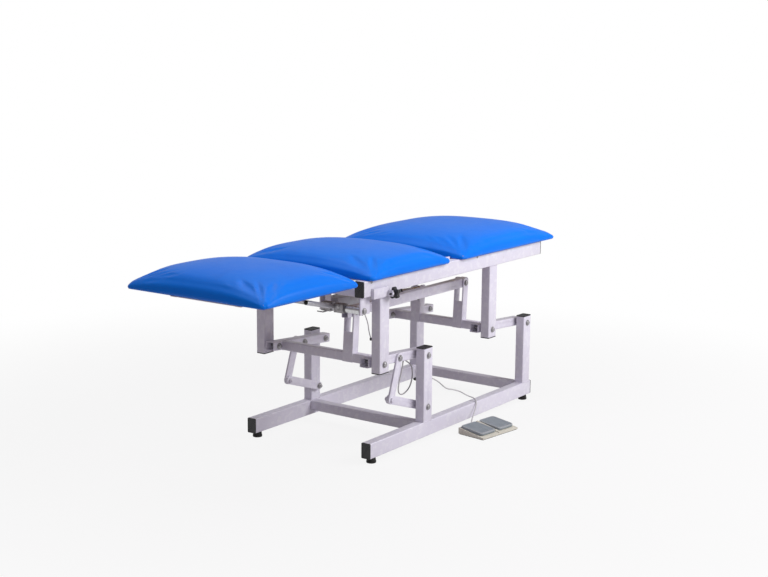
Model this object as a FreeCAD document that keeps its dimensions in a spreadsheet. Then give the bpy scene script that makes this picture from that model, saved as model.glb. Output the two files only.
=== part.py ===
"""Electric examination couch: a three-section padded top on a parallel-arm lifting frame.

The drawing frame has x along the couch from the base rails' foot end to the head end,
y across it from the near side to the far side, and z up from the floor. Every piece is
then shifted so that the origin lies under the middle of the whole object.
"""
import FreeCAD, Part
import math
import os
import Sketcher

Vector = FreeCAD.Vector
Rotation = FreeCAD.Rotation

# Driving dimensions in millimetres and degrees
VALUES = [
    ("base_length", 1200, "length of the base rails"),
    ("base_width", 600, "outer width over the base rails"),
    ("rail_height", 60, "height of the rail tubes"),
    ("rail_width", 40, "width of the rail tubes"),
    ("post_depth", 60, "size of the posts along the couch"),
    ("bar_size", 40, "size of the square cross bars"),
    ("tube_wall", 2.5, "wall of the frame tubes"),
    ("tube_corner", 4, "outer corner radius of the frame tubes"),
    ("foot_height", 22, "height of the rubber feet"),
    ("foot_radius", 19, "radius of a rubber foot at the top"),
    ("foot_base_radius", 16, "radius of a rubber foot at the floor"),
    ("foot_inset", 32, "distance of a rubber foot from the rail's end"),
    ("foot_post_start", 352, "foot-end face of the foot-end base posts"),
    ("head_post_inset", 10, "distance of the head-end base posts from the rails' end"),
    ("base_post_top", 377, "height of the base posts' top above the floor"),
    ("foot_bar_start", 347, "foot-end face of the foot-end base cross bar"),
    ("head_bar_offset", 2, "distance of the head-end cross bar from its posts' foot-end face"),
    ("cap_thickness", 4, "thickness of a tube end cap's flange"),
    ("cap_depth", 12, "depth of a tube end cap's plug"),
    ("plug_clearance", 0.2, "gap between a cap's plug and the tube's bore"),
    ("arm_pivot_height", 348, "height of the arms' pivots on the base posts"),
    ("arm_length", 298, "distance between an arm's two pivots"),
    ("arm_rest_angle", 4, "rise of the arms above level at rest"),
    ("arm_size", 36, "height of the arm tubes and their cross bars"),
    ("arm_gap", 10, "gap between a post and an arm"),
    ("arm_width", 40, "width of the arm tubes and their cross bars"),
    ("arm_top_overhang", 33, "length of an arm past its upper pivot"),
    ("arm_base_overhang", 28, "length of an arm past its base pivot"),
    ("arm_bar_offset", 39, "distance of the arm cross bar's middle from the upper pivot"),
    ("pivot_radius", 6, "radius of the pivot bolts"),
    ("pivot_clearance", 0.2, "radial clearance of a bolt in a moving piece"),
    ("spacer_radius", 13, "radius of the spacer rings"),
    ("side_clearance", 0.4, "gap beside a moving piece"),
    ("bolt_head_radius", 10, "radius over the corners of a hexagon head"),
    ("bolt_head_height", 7, "height of a hexagon head"),
    ("bolt_tail", 4, "length of a bolt past its nut"),
    ("nut_height", 9, "height of a lock nut"),
    ("lever_depth", 36, "size of the lever forks along the couch"),
    ("lever_width", 46, "width of the lever forks"),
    ("lever_plate", 6, "thickness of a lever fork's side plate"),
    ("lever_web", 4, "thickness of a lever fork's web"),
    ("lever_pin_inset", 16, "distance of a lever's pin from the face of its web"),
    ("lever_corner", 9, "radius of a lever plate's upper corners"),
    ("tie_lever_centre", -114, "middle of the tie bar's levers across the couch"),
    ("tie_lever_pin", 177, "height of the tie bar's pins above the arm's axis"),
    ("tie_lever_web", 98, "height of the web of the tie bar's levers"),
    ("tie_lever_top", 198, "height of the plates of the tie bar's levers"),
    ("drive_lever_centre", 103, "middle of the actuator's lever across the couch"),
    ("drive_lever_pin", 125, "height of the actuator's pin above the arm's axis"),
    ("drive_lever_web", 76, "height of the web of the actuator's lever"),
    ("drive_lever_top", 144, "height of the plates of the actuator's lever"),
    ("tie_bar_height", 40, "height of the tie bar tube"),
    ("tie_bar_width", 30, "width of the tie bar tube"),
    ("tie_bar_foot_end", 45, "length of the tie bar past its foot-end pin"),
    ("tie_bar_head_end", 25, "length of the tie bar past its head-end pin"),
    ("drop_pivot_reach", 137, "distance of the drop link's pivot from the arm's base pivot"),
    ("drop_length", 163, "distance between the drop link's pivots"),
    ("drop_width", 36, "width of the drop links"),
    ("drop_thickness", 8, "thickness of the drop links"),
    ("lower_length", 200, "distance between the lower link's pivots"),
    ("lower_width", 34, "width of the lower links"),
    ("lower_thickness", 8, "thickness of the lower links"),
    ("lower_pivot_height", 141, "height of the lower links' pivots on the base posts"),
    ("link_bolt_radius", 5, "radius of the link bolts"),
    ("post_end_below_pivot", 31, "distance of a hanging post's end below its pivot"),
    ("hanging_post_length", 302, "length of the hanging posts"),
    ("top_rail_overhang", 130, "length of the top rails past the foot-end hanging pivots"),
    ("top_rail_length", 1302, "length of the top rails"),
    ("cross_member_height", 30, "height of the top frame's cross members"),
    ("seat_member_start", 540, "foot-end face of the cross member under the seat's end"),
    ("drive_member_start", 225, "foot-end face of the cross member that holds the actuator"),
    ("cushion_overhang", 25, "distance of the cushions' sides outside the rails"),
    ("cushion_corner", 26, "corner radius of the cushions in plan"),
    ("cushion_edge", 34, "height of a cushion's side"),
    ("cushion_crown", 84, "height of a cushion at its middle"),
    ("crown_inset", 140, "distance of the crown's flat from a cushion's side"),
    ("board_thickness", 15, "thickness of the plywood boards"),
    ("board_inset", 14, "distance of a board's edge from the cushion's side"),
    ("seat_start", -30, "foot-end edge of the seat cushion"),
    ("seat_length", 545, "length of the seat cushion"),
    ("back_start", 590, "foot-end edge of the back cushion"),
    ("back_length", 772, "length of the back cushion"),
    ("leg_start", -630, "foot-end edge of the leg cushion"),
    ("leg_length", 540, "length of the leg cushion"),
    ("leg_drop", 9, "drop of the leg board below the rails' top"),
    ("section_clearance", 0.3, "gap under a moving section where it rests on the rails"),
    ("frame_tube", 25, "size of the back frame's square tubes"),
    ("frame_wall", 2, "wall of the section frames' tubes"),
    ("back_frame_gap", 10, "gap between the back frame and the rails' inner faces"),
    ("back_frame_length", 590, "length of the back frame past its hinge"),
    ("back_hinge_x", 575, "place of the back's hinge along the couch"),
    ("back_hinge_rise", 3, "height of the back's hinge above the rails' top"),
    ("hinge_plate", 6, "thickness of the hinge plates"),
    ("hinge_radius", 5, "radius of the hinge pins"),
    ("leg_tube_width", 30, "width of the leg frame's tubes"),
    ("leg_tube_height", 20, "height of the leg frame's tubes"),
    ("leg_frame_width", 330, "outer width of the leg frame"),
    ("leg_frame_length", 500, "length of the leg frame past its hinge"),
    ("leg_hinge_x", -68, "place of the leg section's hinge along the couch"),
    ("leg_hinge_drop", 22, "drop of the leg section's hinge below the rails' top"),
    ("spring_shaft_x", -23, "place of the leg spring's shaft along the couch"),
    ("spring_shaft_drop", 113, "drop of the leg spring's shaft below the rails' top"),
    ("spring_shaft_radius", 8, "radius of the leg spring's shaft"),
    ("ear_length", 58, "length of the shaft's ears along the couch"),
    ("ear_drop", 66, "height of the shaft's ears below the rails"),
    ("ear_thickness", 6, "thickness of the shaft's ears"),
    ("leg_spring_inset", 153, "distance of the leg spring from the near side of the frame"),
    ("leg_spring_reach", 246, "distance of the leg spring's upper pin from the hinge"),
    ("leg_spring_pin_drop", 40, "drop of the leg spring's upper pin below the rails' top"),
    ("leg_spring_rod_start", 172, "distance of the leg spring's cylinder end from the shaft"),
    ("spring_eye_radius", 8, "radius of a gas spring's eye"),
    ("spring_eye_width", 16, "width of a gas spring's eye"),
    ("spring_pin_radius", 4, "radius of a gas spring's pins"),
    ("spring_plate", 4, "thickness of the plates that hold a gas spring"),
    ("spring_plate_depth", 24, "height of the plates that hold a gas spring"),
    ("leg_rod_depth", 60, "length of the leg spring's rod inside its cylinder at rest"),
    ("back_rod_depth", 118, "length of the back spring's rod inside its cylinder at rest"),
    ("spring_neck_length", 24, "distance of a gas spring's full width from its lower pin"),
    ("spring_bore_start", 18, "distance of a cylinder's bore from its lower pin"),
    ("release_width", 85, "width of the release head on the leg spring's shaft"),
    ("release_height", 33, "height of the release head"),
    ("release_depth", 30, "size of the release head along the couch"),
    ("sleeve_radius", 15, "radius of the aluminium sleeve on the shaft"),
    ("sleeve_length", 64, "length of the aluminium sleeve"),
    ("collar_radius", 17, "radius of the black ring on the shaft"),
    ("collar_width", 6, "width of the black ring"),
    ("spring_body_radius", 9, "radius of a gas spring's cylinder"),
    ("spring_rod_radius", 4, "radius of a gas spring's rod"),
    ("back_spring_x", 640, "place of the back spring's lower pin along the couch"),
    ("back_spring_drop", 46, "drop of the back spring's lower pin below the rails' top"),
    ("back_spring_reach", 385, "distance of the back spring's upper pin from the hinge"),
    ("back_spring_pin_drop", 24, "drop of the back spring's upper pin below the rails' top"),
    ("drive_rear_x", 245, "place of the actuator's rear pin along the couch"),
    ("drive_rear_drop", 178, "drop of the actuator's rear pin below the rails' top"),
    ("drive_tube_radius", 21, "radius of the actuator's outer tube"),
    ("drive_rod_radius", 11, "radius of the actuator's rod"),
    ("drive_rod_length", 150, "length of the actuator's rod outside its tube at rest"),
    ("drive_eye_width", 20, "width of the actuator's eyes"),
    ("back_spring_rod_start", 232, "distance of the back spring's cylinder end from its lower pin"),
    ("drive_housing_start", 40, "distance of the gear housing from the actuator's rear pin"),
    ("drive_housing_length", 80, "length of the gear housing"),
    ("drive_housing_width", 62, "width of the gear housing"),
    ("drive_housing_height", 52, "height of the gear housing"),
    ("drive_motor_radius", 24, "radius of the motor"),
    ("drive_motor_length", 128, "length of the motor"),
    ("drive_motor_offset", 46, "distance of the motor's axis beside the actuator's axis"),
    ("drive_eye_wall", 3, "wall around an actuator's pin"),
    ("drive_overlap", 5, "length by which the actuator's pieces enter each other"),
    ("drive_stroke", 85, "free length behind the actuator's rod at rest"),
    ("drive_rod_depth", 110, "length of the actuator's rod inside its tube at rest"),
    ("drive_plate_length", 34, "length of the actuator bracket's plates"),
    ("holder_start", -1, "foot-end edge of the accessory holder"),
    ("holder_length", 91, "length of the accessory holder"),
    ("holder_drop", 32, "drop of the holder's upper edge below the rails' top"),
    ("holder_height", 38, "height of the accessory holder"),
    ("holder_gap", 9, "gap behind the accessory holder"),
    ("holder_plate", 3, "thickness of the holder's plate"),
    ("holder_corner", 12, "radius of the holder's lower corners"),
    ("knob_x", 104, "foot-end face of the knob"),
    ("knob_offset", 25, "distance of the knob's axis outside the rails"),
    ("knob_drop", 60, "drop of the knob's axis below the rails' top"),
    ("knob_radius", 16, "radius of the knob's middle"),
    ("knob_lobe_radius", 7, "radius of the knob's lobes"),
    ("knob_width", 14, "width of the knob along its axis"),
    ("knob_screw_radius", 4, "radius of the knob's screw"),
    ("switch_x", 640, "middle of the foot switch along the couch"),
    ("switch_offset", 124, "distance of the foot switch's middle outside the frame"),
    ("switch_turn", -8, "turn of the foot switch on the floor"),
    ("switch_length", 222, "length of the foot switch along the couch"),
    ("switch_depth", 128, "depth of the foot switch, toe to heel"),
    ("switch_height", 28, "height of the foot switch's back"),
    ("switch_toe_height", 9, "height of the foot switch's toe edge"),
    ("switch_sole", 3, "thickness of the foot switch's rubber sole"),
    ("pedal_width", 96, "width of a pedal"),
    ("pedal_depth", 112, "depth of a pedal"),
    ("pedal_offset", 56, "distance of a pedal's middle from the middle of the foot switch"),
    ("pedal_thickness", 6, "thickness of a pedal"),
    ("pedal_gap", 2.5, "gap under a pedal at its hinge"),
    ("pedal_travel", 2.5, "travel of a pedal in degrees"),
    ("pedal_hinge_inset", 14, "distance of a pedal's hinge from the back of the foot switch"),
    ("pedal_rod_radius", 3, "radius of a pedal's hinge rod"),
    ("ridge_width", 12, "width of the ridge between the pedals"),
    ("ridge_inset", 4, "distance of the ridge from the toe and the back"),
    ("pedal_rod_inset", 4, "distance of a hinge rod's ends from the pedal's sides"),
    ("pedal_back_inset", 2, "distance of a pedal from the back of the foot switch"),
    ("trough_gap", 1, "gap past the ends of a hinge rod"),
    ("sole_inset", 3, "distance of the sole's edge from the housing's"),
    ("gland_radius", 5, "radius of the cord's gland"),
    ("gland_length", 12, "length of the cord's gland"),
    ("rail_bolt_head", 730, "place of the small bolt on the near top rail"),
    ("rail_bolt_radius", 5, "radius of the small bolts on the near top rail"),
    ("rail_bolt_height", 3, "height of the small bolts on the near top rail"),
    ("clip_size", 10, "size of the cord's clip"),
    ("clip_drop", 103, "drop of the cord's clip below the arms' pivots"),
    ("loop_inset", 8, "distance of the lead's loop inside the middle of the arm above it"),
    ("lead_radius", 2, "radius of the lead from the shaft"),
    ("cord_radius", 2.6, "radius of the foot switch's cord"),
]

# How many of a thing there are, and fixed shapes
SIDES = (("near", -1), ("far", 1))
HEX_SIDES = 6
KNOB_LOBES = 5
CORNER_SHARE = 0.45

# Routes of the cords, chosen by hand. The first and last lists hold x, the distance inside
# the frame's near side, and z. The loop lies in a plane across the couch and holds x and z.
SWITCH_ROUTE = [(440, 50, 244), (484, 47, 229), (529, 44, 204), (582, 45, 165), (636, 44, 151),
                (688, 45, 132), (724, 44, 113), (747, 36, 100), (756, 19, 94), (747, 2, 87),
                (732, -9, 75), (713, -15, 57), (692, -19, 38), (668, -26, 21)]
LOOP_ROUTE = [(331, 333), (340, 322), (360, 312), (379, 296), (387, 268), (383, 240), (368, 213),
              (342, 197), (314, 192), (292, 201), (288, 224), (296, 250), (307, 276), (316, 303),
              (322, 333)]
LEAD_ROUTE = [(-13, 20, 573), (-2, 22, 558), (14, 27, 538), (30, 35, 517), (46, 44, 494), (60, 46, 468)]

doc = FreeCAD.newDocument("examination_couch")
sheet = doc.addObject("Spreadsheet::Sheet", "values")


class Dim:
    """A size that carries its number together with its formula in the spreadsheet."""

    def __init__(self, value, text):
        self.value = float(value)
        self.text = text

    def __add__(self, other):
        other = dim(other)
        return Dim(self.value + other.value, f"({self.text} + {other.text})")

    def __sub__(self, other):
        other = dim(other)
        return Dim(self.value - other.value, f"({self.text} - {other.text})")

    def __mul__(self, other):
        other = dim(other)
        return Dim(self.value * other.value, f"({self.text} * {other.text})")

    def __truediv__(self, other):
        other = dim(other)
        return Dim(self.value / other.value, f"({self.text} / {other.text})")

    def __radd__(self, other):
        return dim(other) + self

    def __rsub__(self, other):
        return dim(other) - self

    def __rmul__(self, other):
        return dim(other) * self

    def __neg__(self):
        return Dim(-self.value, f"(0 - {self.text})")


def dim(size):
    """A plain number as a Dim."""
    return size if isinstance(size, Dim) else Dim(size, repr(float(size)))


def cosine(angle):
    return Dim(math.cos(math.radians(angle.value)), f"cos({angle.text})")


def sine(angle):
    return Dim(math.sin(math.radians(angle.value)), f"sin({angle.text})")


class Values:
    """The driving dimensions, read back from the sheet by name."""


def fill_sheet():
    """Writes the driving dimensions into the sheet and reads them back as Dims."""
    read = Values()
    for row, (alias, number, meaning) in enumerate(VALUES, start=1):
        sheet.set(f"A{row}", meaning)
        sheet.set(f"B{row}", str(number))
        sheet.setAlias(f"B{row}", alias)
    doc.recompute()
    for alias, number, meaning in VALUES:
        setattr(read, alias, Dim(sheet.get(alias), f"values.{alias}"))
    return read


v = fill_sheet()
HALF_BASE = v.base_width / 2
CUSHION_WIDTH = v.base_width + 2 * v.cushion_overhang
SWITCH_Y = -HALF_BASE - v.switch_offset
ORIGIN_X = (v.leg_start + v.back_start + v.back_length) / 2
SWITCH_NEAR = (SWITCH_Y - v.switch_depth / 2 * cosine(v.switch_turn)
               + v.switch_length / 2 * sine(v.switch_turn))
ORIGIN_Y = (CUSHION_WIDTH / 2 + SWITCH_NEAR) / 2


def bind(thing, path, size):
    """Ties one property of an object to the sheet."""
    thing.setExpression(path, dim(size).text)


def place(thing, x, y, z, turn=None):
    """Puts an object at a point of the drawing frame, turned first if a turn is given."""
    if turn is not None:
        thing.Placement = FreeCAD.Placement(Vector(), turn)
    bind(thing, "Placement.Base.x", dim(x) - ORIGIN_X)
    bind(thing, "Placement.Base.y", dim(y) - ORIGIN_Y)
    bind(thing, "Placement.Base.z", z)
    return thing


def about_y(degrees):
    return Rotation(Vector(0, 1, 0), degrees)


ALONG_X = about_y(90)
ALONG_Y = Rotation(Vector(1, 0, 0), -90)
ALONG_MINUS_Y = Rotation(Vector(1, 0, 0), 90)


# Solid builders
def box(name, long, wide, tall, x, y, z, turn=None):
    solid = doc.addObject("Part::Box", name)
    bind(solid, "Length", long)
    bind(solid, "Width", wide)
    bind(solid, "Height", tall)
    return place(solid, x, y, z, turn)


def cylinder(name, radius, length, x, y, z, turn=None):
    solid = doc.addObject("Part::Cylinder", name)
    bind(solid, "Radius", radius)
    bind(solid, "Height", length)
    return place(solid, x, y, z, turn)


def prism(name, radius, length, x, y, z, turn=None):
    """A hexagonal prism, radius over its corners."""
    solid = doc.addObject("Part::Prism", name)
    solid.Polygon = HEX_SIDES
    bind(solid, "Circumradius", radius)
    bind(solid, "Height", length)
    return place(solid, x, y, z, turn)


def fuse(name, solids):
    joined = doc.addObject("Part::MultiFuse", name)
    joined.Shapes = solids
    joined.Refine = True
    return joined


def cut(name, base, tools):
    """Takes the tools, one or many, out of the base."""
    tool = tools[0] if len(tools) == 1 else fuse(f"{name}_tools", tools)
    result = doc.addObject("Part::Cut", name)
    result.Base = base
    result.Tool = tool
    return result


def group(name, solids):
    result = doc.addObject("Part::Compound", name)
    result.Links = solids
    return result


def origin_plane(body, role):
    for feature in body.Origin.OriginFeatures:
        if feature.Role == role:
            return feature
    raise ValueError(role)


def new_sketch(body, name, role, offset=None):
    sketch = body.newObject("Sketcher::SketchObject", name)
    sketch.AttachmentSupport = (origin_plane(body, role), [""])
    sketch.MapMode = "FlatFace"
    if offset is not None:
        bind(sketch, "AttachmentOffset.Base.z", offset)
    return sketch


def rounded_rectangle(sketch, name, wide, tall, radius):
    """A rectangle with round corners, centred on the sketch's origin and fully constrained."""
    half_x, half_y, corner = wide.value / 2, tall.value / 2, radius.value
    ends = [
        (Vector(corner - half_x, -half_y, 0), Vector(half_x - corner, -half_y, 0)),
        (Vector(half_x, corner - half_y, 0), Vector(half_x, half_y - corner, 0)),
        (Vector(half_x - corner, half_y, 0), Vector(corner - half_x, half_y, 0)),
        (Vector(-half_x, half_y - corner, 0), Vector(-half_x, corner - half_y, 0)),
    ]
    centres = [Vector(half_x - corner, corner - half_y, 0), Vector(half_x - corner, half_y - corner, 0),
               Vector(corner - half_x, half_y - corner, 0), Vector(corner - half_x, corner - half_y, 0)]
    lines = [sketch.addGeometry(Part.LineSegment(*pair), False) for pair in ends]
    arcs = []
    for quarter, centre in enumerate(centres):
        circle = Part.Circle(centre, Vector(0, 0, 1), corner)
        start = math.radians(90 * quarter - 90)
        arcs.append(sketch.addGeometry(Part.ArcOfCircle(circle, start, start + math.pi / 2), False))
    for side in range(4):
        sketch.addConstraint(Sketcher.Constraint("Tangent", lines[side], 2, arcs[side], 1))
        sketch.addConstraint(Sketcher.Constraint("Tangent", arcs[side], 2, lines[(side + 1) % 4], 1))
    for side in (0, 2):
        sketch.addConstraint(Sketcher.Constraint("Horizontal", lines[side]))
        sketch.addConstraint(Sketcher.Constraint("Vertical", lines[side + 1]))
    for arc in arcs[1:]:
        sketch.addConstraint(Sketcher.Constraint("Equal", arcs[0], arc))
    sketch.addConstraint(Sketcher.Constraint("Symmetric", arcs[0], 3, arcs[2], 3, -1, 1))
    sizes = (
        ("wide", Sketcher.Constraint("DistanceX", lines[2], 2, lines[0], 2, wide.value - 2 * corner),
         wide - 2 * radius),
        ("tall", Sketcher.Constraint("DistanceY", lines[1], 1, lines[1], 2, tall.value - 2 * corner),
         tall - 2 * radius),
        ("corner", Sketcher.Constraint("Radius", arcs[0], corner), radius),
    )
    for word, constraint, size in sizes:
        index = sketch.addConstraint(constraint)
        sketch.renameConstraint(index, f"{name}_{word}")
        bind(sketch, f"Constraints.{name}_{word}", size)


def pad(body, name, sketch, length):
    feature = body.newObject("PartDesign::Pad", name)
    feature.Profile = sketch
    bind(feature, "Length", length)
    return feature


def tube(name, tall, wide, wall, length, corner=None):
    """A rectangular tube from the origin up z, its tall side along x and its wide side along y."""
    corner = v.tube_corner if corner is None else corner
    body = doc.addObject("PartDesign::Body", name)
    sketch = new_sketch(body, f"{name}_section", "XY_Plane")
    rounded_rectangle(sketch, "outer", dim(tall), dim(wide), corner)
    rounded_rectangle(sketch, "inner", tall - 2 * wall, wide - 2 * wall, corner - wall * 0.6)
    pad(body, f"{name}_length", sketch, length)
    return body


def cap(name, tall, wide, wall):
    """A tube end cap: a flange on the origin's upper side and a plug below it."""
    body = doc.addObject("PartDesign::Body", name)
    flange = new_sketch(body, f"{name}_flange", "XY_Plane")
    rounded_rectangle(flange, "flange", dim(tall), dim(wide), v.tube_corner)
    pad(body, f"{name}_cover", flange, v.cap_thickness)
    plug = new_sketch(body, f"{name}_plug", "XY_Plane")
    gap = wall + v.plug_clearance
    rounded_rectangle(plug, "plug", tall - 2 * gap, wide - 2 * gap, v.tube_corner - wall * 0.6)
    insert = pad(body, f"{name}_insert", plug, v.cap_depth)
    insert.Reversed = True
    return body


def drilled(name, base, holes):
    """Cuts round holes across the couch: each hole is its radius and its x and z."""
    tools = []
    for number, (radius, x, z) in enumerate(holes):
        tools.append(cylinder(f"{name}_hole{number}", radius, v.base_width * 2, x, -v.base_width, z,
                              ALONG_Y))
    return cut(name, base, tools)


def plate(name, length, width, thickness, hole, x, y, z, turn):
    """A flat link with round ends and a hole at each: it lies along x from its first hole."""
    own_x, own_y = ORIGIN_X, ORIGIN_Y
    solids = [box(f"{name}_bar", length, thickness, width, own_x, own_y - thickness / 2, -width / 2)]
    holes = []
    for word, along in (("first", own_x), ("second", own_x + length)):
        solids.append(cylinder(f"{name}_{word}_end", width / 2, thickness, along, own_y - thickness / 2, 0,
                               ALONG_Y))
        holes.append(cylinder(f"{name}_{word}_hole", hole, 3 * thickness, along, own_y - 1.5 * thickness, 0,
                              ALONG_Y))
    link = cut(name, fuse(f"{name}_outline", solids), holes)
    return place(link, x, y, z, turn)


# Heights and places that follow from the driving dimensions
RAIL_TOP = v.foot_height + v.rail_height
RAIL_MID = HALF_BASE - v.rail_width / 2
INNER_FACE = HALF_BASE - v.rail_width
BACK_FRAME_WIDTH = 2 * (INNER_FACE - v.back_frame_gap)
KNOB_Y = -HALF_BASE - v.knob_offset
ARM_MID = INNER_FACE - v.arm_gap - v.arm_width / 2
ARM_INNER = INNER_FACE - v.arm_gap - v.arm_width
LEG_SPRING_Y = v.leg_spring_inset - HALF_BASE
HEAD_POST_START = v.base_length - v.head_post_inset - v.post_depth
HEAD_BAR_START = HEAD_POST_START + v.head_bar_offset
FOOT_PIVOT_X = v.foot_post_start + v.post_depth / 2
HEAD_PIVOT_X = HEAD_POST_START + v.post_depth / 2
RISE = sine(v.arm_rest_angle)
RUN = cosine(v.arm_rest_angle)
HANG_Z = v.arm_pivot_height + v.arm_length * RISE
POST_END_Z = HANG_Z - v.post_end_below_pivot
TOP_BOTTOM = POST_END_Z + v.hanging_post_length
TOP_Z = TOP_BOTTOM + v.rail_height
TOP_START = FOOT_PIVOT_X - v.arm_length * RUN - v.top_rail_overhang
ARM_TURN = about_y(v.arm_rest_angle.value)
PIVOT_HOLE = v.pivot_radius + v.pivot_clearance
LINK_HOLE = v.link_bolt_radius + v.pivot_clearance


def hanging_x(base_x):
    return base_x - v.arm_length * RUN


def on_arm(base_x, along, up):
    """A point on an arm, along it from its upper pivot and up from its axis."""
    x = hanging_x(base_x) + along * RUN + up * RISE
    z = HANG_Z - along * RISE + up * RUN
    return x, z


def drop_joint():
    """The joint between a drop link and a lower link, as plain numbers in x and z."""
    reach = v.drop_pivot_reach.value
    top_x = FOOT_PIVOT_X.value - reach * RUN.value
    top_z = v.arm_pivot_height.value + reach * RISE.value
    step_x = top_x - FOOT_PIVOT_X.value
    step_z = top_z - v.lower_pivot_height.value
    span = math.hypot(step_x, step_z)
    along = (v.lower_length.value ** 2 - v.drop_length.value ** 2 + span ** 2) / (2 * span)
    aside = math.sqrt(v.lower_length.value ** 2 - along ** 2)
    joint_x = FOOT_PIVOT_X.value + (along * step_x - aside * step_z) / span
    joint_z = v.lower_pivot_height.value + (along * step_z + aside * step_x) / span
    return (top_x, top_z), (joint_x, joint_z)


def toward(start, end):
    """The turn about y that brings the x axis onto the line from one x-z point to another."""
    return math.degrees(math.atan2(start[1] - end[1], end[0] - start[0]))


def bolt(name, radius, x, side, z, outer, grip, head_turn=0):
    """A bolt across the couch: its head outside the outer face, its nut past the grip."""
    turn = ALONG_Y if side < 0 else ALONG_MINUS_Y
    spin = turn * Rotation(Vector(0, 0, 1), head_turn)
    start = outer if side > 0 else -outer
    step = -side
    solids = [
        prism(f"{name}_head", v.bolt_head_radius, v.bolt_head_height,
              x, start - step * v.bolt_head_height, z, spin),
        cylinder(f"{name}_shank", radius, grip + v.nut_height + v.bolt_tail, x, start, z, turn),
        prism(f"{name}_nut", v.bolt_head_radius, v.nut_height, x, start + step * grip, z, spin),
    ]
    return fuse(name, solids)


def spacer(name, radius, x, side, z, start, length):
    """A spacer ring across the couch, from its outer face inwards."""
    turn = ALONG_Y if side < 0 else ALONG_MINUS_Y
    begin = start if side > 0 else -start
    ring = cylinder(f"{name}_ring", v.spacer_radius, length, x, begin, z, turn)
    bore = cylinder(f"{name}_bore", radius, length * 3, x, begin + side * length, z, turn)
    return cut(name, ring, [bore])


# Base frame
def base_rails():
    made = []
    for word, side in SIDES:
        rail = tube(f"base_rail_{word}", v.rail_height, v.rail_width, v.tube_wall, v.base_length)
        made.append(place(rail, 0, side * RAIL_MID, v.foot_height + v.rail_height / 2, ALONG_X))
    return made


def base_crossbars():
    bars = []
    for word, start in (("foot", v.foot_bar_start), ("head", HEAD_BAR_START)):
        bar = tube(f"base_bar_{word}", v.bar_size, v.bar_size, v.tube_wall, 2 * INNER_FACE)
        bars.append(place(bar, start + v.bar_size / 2, -INNER_FACE, RAIL_TOP - v.bar_size / 2, ALONG_Y))
    return [group("base_crossbars", bars)]


def base_posts():
    made = []
    for end, start in (("foot", v.foot_post_start), ("head", HEAD_POST_START)):
        for word, side in SIDES:
            name = f"base_post_{end}_{word}"
            post = tube(f"{name}_tube", v.post_depth, v.rail_width, v.tube_wall, v.base_post_top - RAIL_TOP)
            x = start + v.post_depth / 2
            place(post, x, side * RAIL_MID, RAIL_TOP)
            holes = [(v.pivot_radius, x, v.arm_pivot_height)]
            if end == "foot":
                holes.append((v.link_bolt_radius, x, v.lower_pivot_height))
            made.append(drilled(name, post, holes))
    return [group("base_posts", made)]


def base_caps():
    caps = []
    for word, side in SIDES:
        mid = v.foot_height + v.rail_height / 2
        for end, x, turn in (("foot", dim(0), -90), ("head", v.base_length, 90)):
            piece = cap(f"base_cap_{end}_{word}", v.rail_height, v.rail_width, v.tube_wall)
            caps.append(place(piece, x, side * RAIL_MID, mid, about_y(turn)))
        for end, x in (("foot", FOOT_PIVOT_X), ("head", HEAD_PIVOT_X)):
            piece = cap(f"post_cap_{end}_{word}", v.post_depth, v.rail_width, v.tube_wall)
            caps.append(place(piece, x, side * RAIL_MID, v.base_post_top))
    return [group("base_caps", caps)]


def rubber_feet():
    feet = []
    for end, x in (("foot", v.foot_inset), ("head", v.base_length - v.foot_inset)):
        for word, side in SIDES:
            foot = doc.addObject("Part::Cone", f"rubber_foot_{end}_{word}")
            bind(foot, "Radius1", v.foot_base_radius)
            bind(foot, "Radius2", v.foot_radius)
            bind(foot, "Height", v.foot_height)
            feet.append(place(foot, x, side * RAIL_MID, 0))
    return [group("rubber_feet", feet)]


def base_pivots():
    """The bolts that carry the arms and the lower links on the base posts, with their spacers."""
    solids = []
    ring = v.arm_gap - v.side_clearance
    grip = v.rail_width + v.arm_gap + v.arm_width + v.side_clearance
    low_grip = v.rail_width + LOWER_OUTER_GAP + v.lower_thickness + v.side_clearance
    for word, side in SIDES:
        for end, x in (("foot", FOOT_PIVOT_X), ("head", HEAD_PIVOT_X)):
            name = f"arm_bolt_{end}_{word}"
            solids.append(bolt(name, v.pivot_radius, x, side, v.arm_pivot_height, HALF_BASE, grip, 12))
            solids.append(spacer(f"{name}_spacer", v.pivot_radius, x, side, v.arm_pivot_height, INNER_FACE,
                                 ring))
        name = f"lower_bolt_{word}"
        solids.append(bolt(name, v.link_bolt_radius, FOOT_PIVOT_X, side, v.lower_pivot_height,
                           HALF_BASE, low_grip, 20))
        solids.append(spacer(f"{name}_spacer", v.link_bolt_radius, FOOT_PIVOT_X, side, v.lower_pivot_height,
                             INNER_FACE, LOWER_OUTER_GAP - v.side_clearance))
    return [group("base_pivot_bolts", solids)]


DROP_OUTER = INNER_FACE - (v.arm_gap - v.drop_thickness) / 2
DROP_INNER = DROP_OUTER - v.drop_thickness
LOWER_OUTER = DROP_INNER - 2 * v.side_clearance
LOWER_OUTER_GAP = INNER_FACE - LOWER_OUTER


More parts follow.
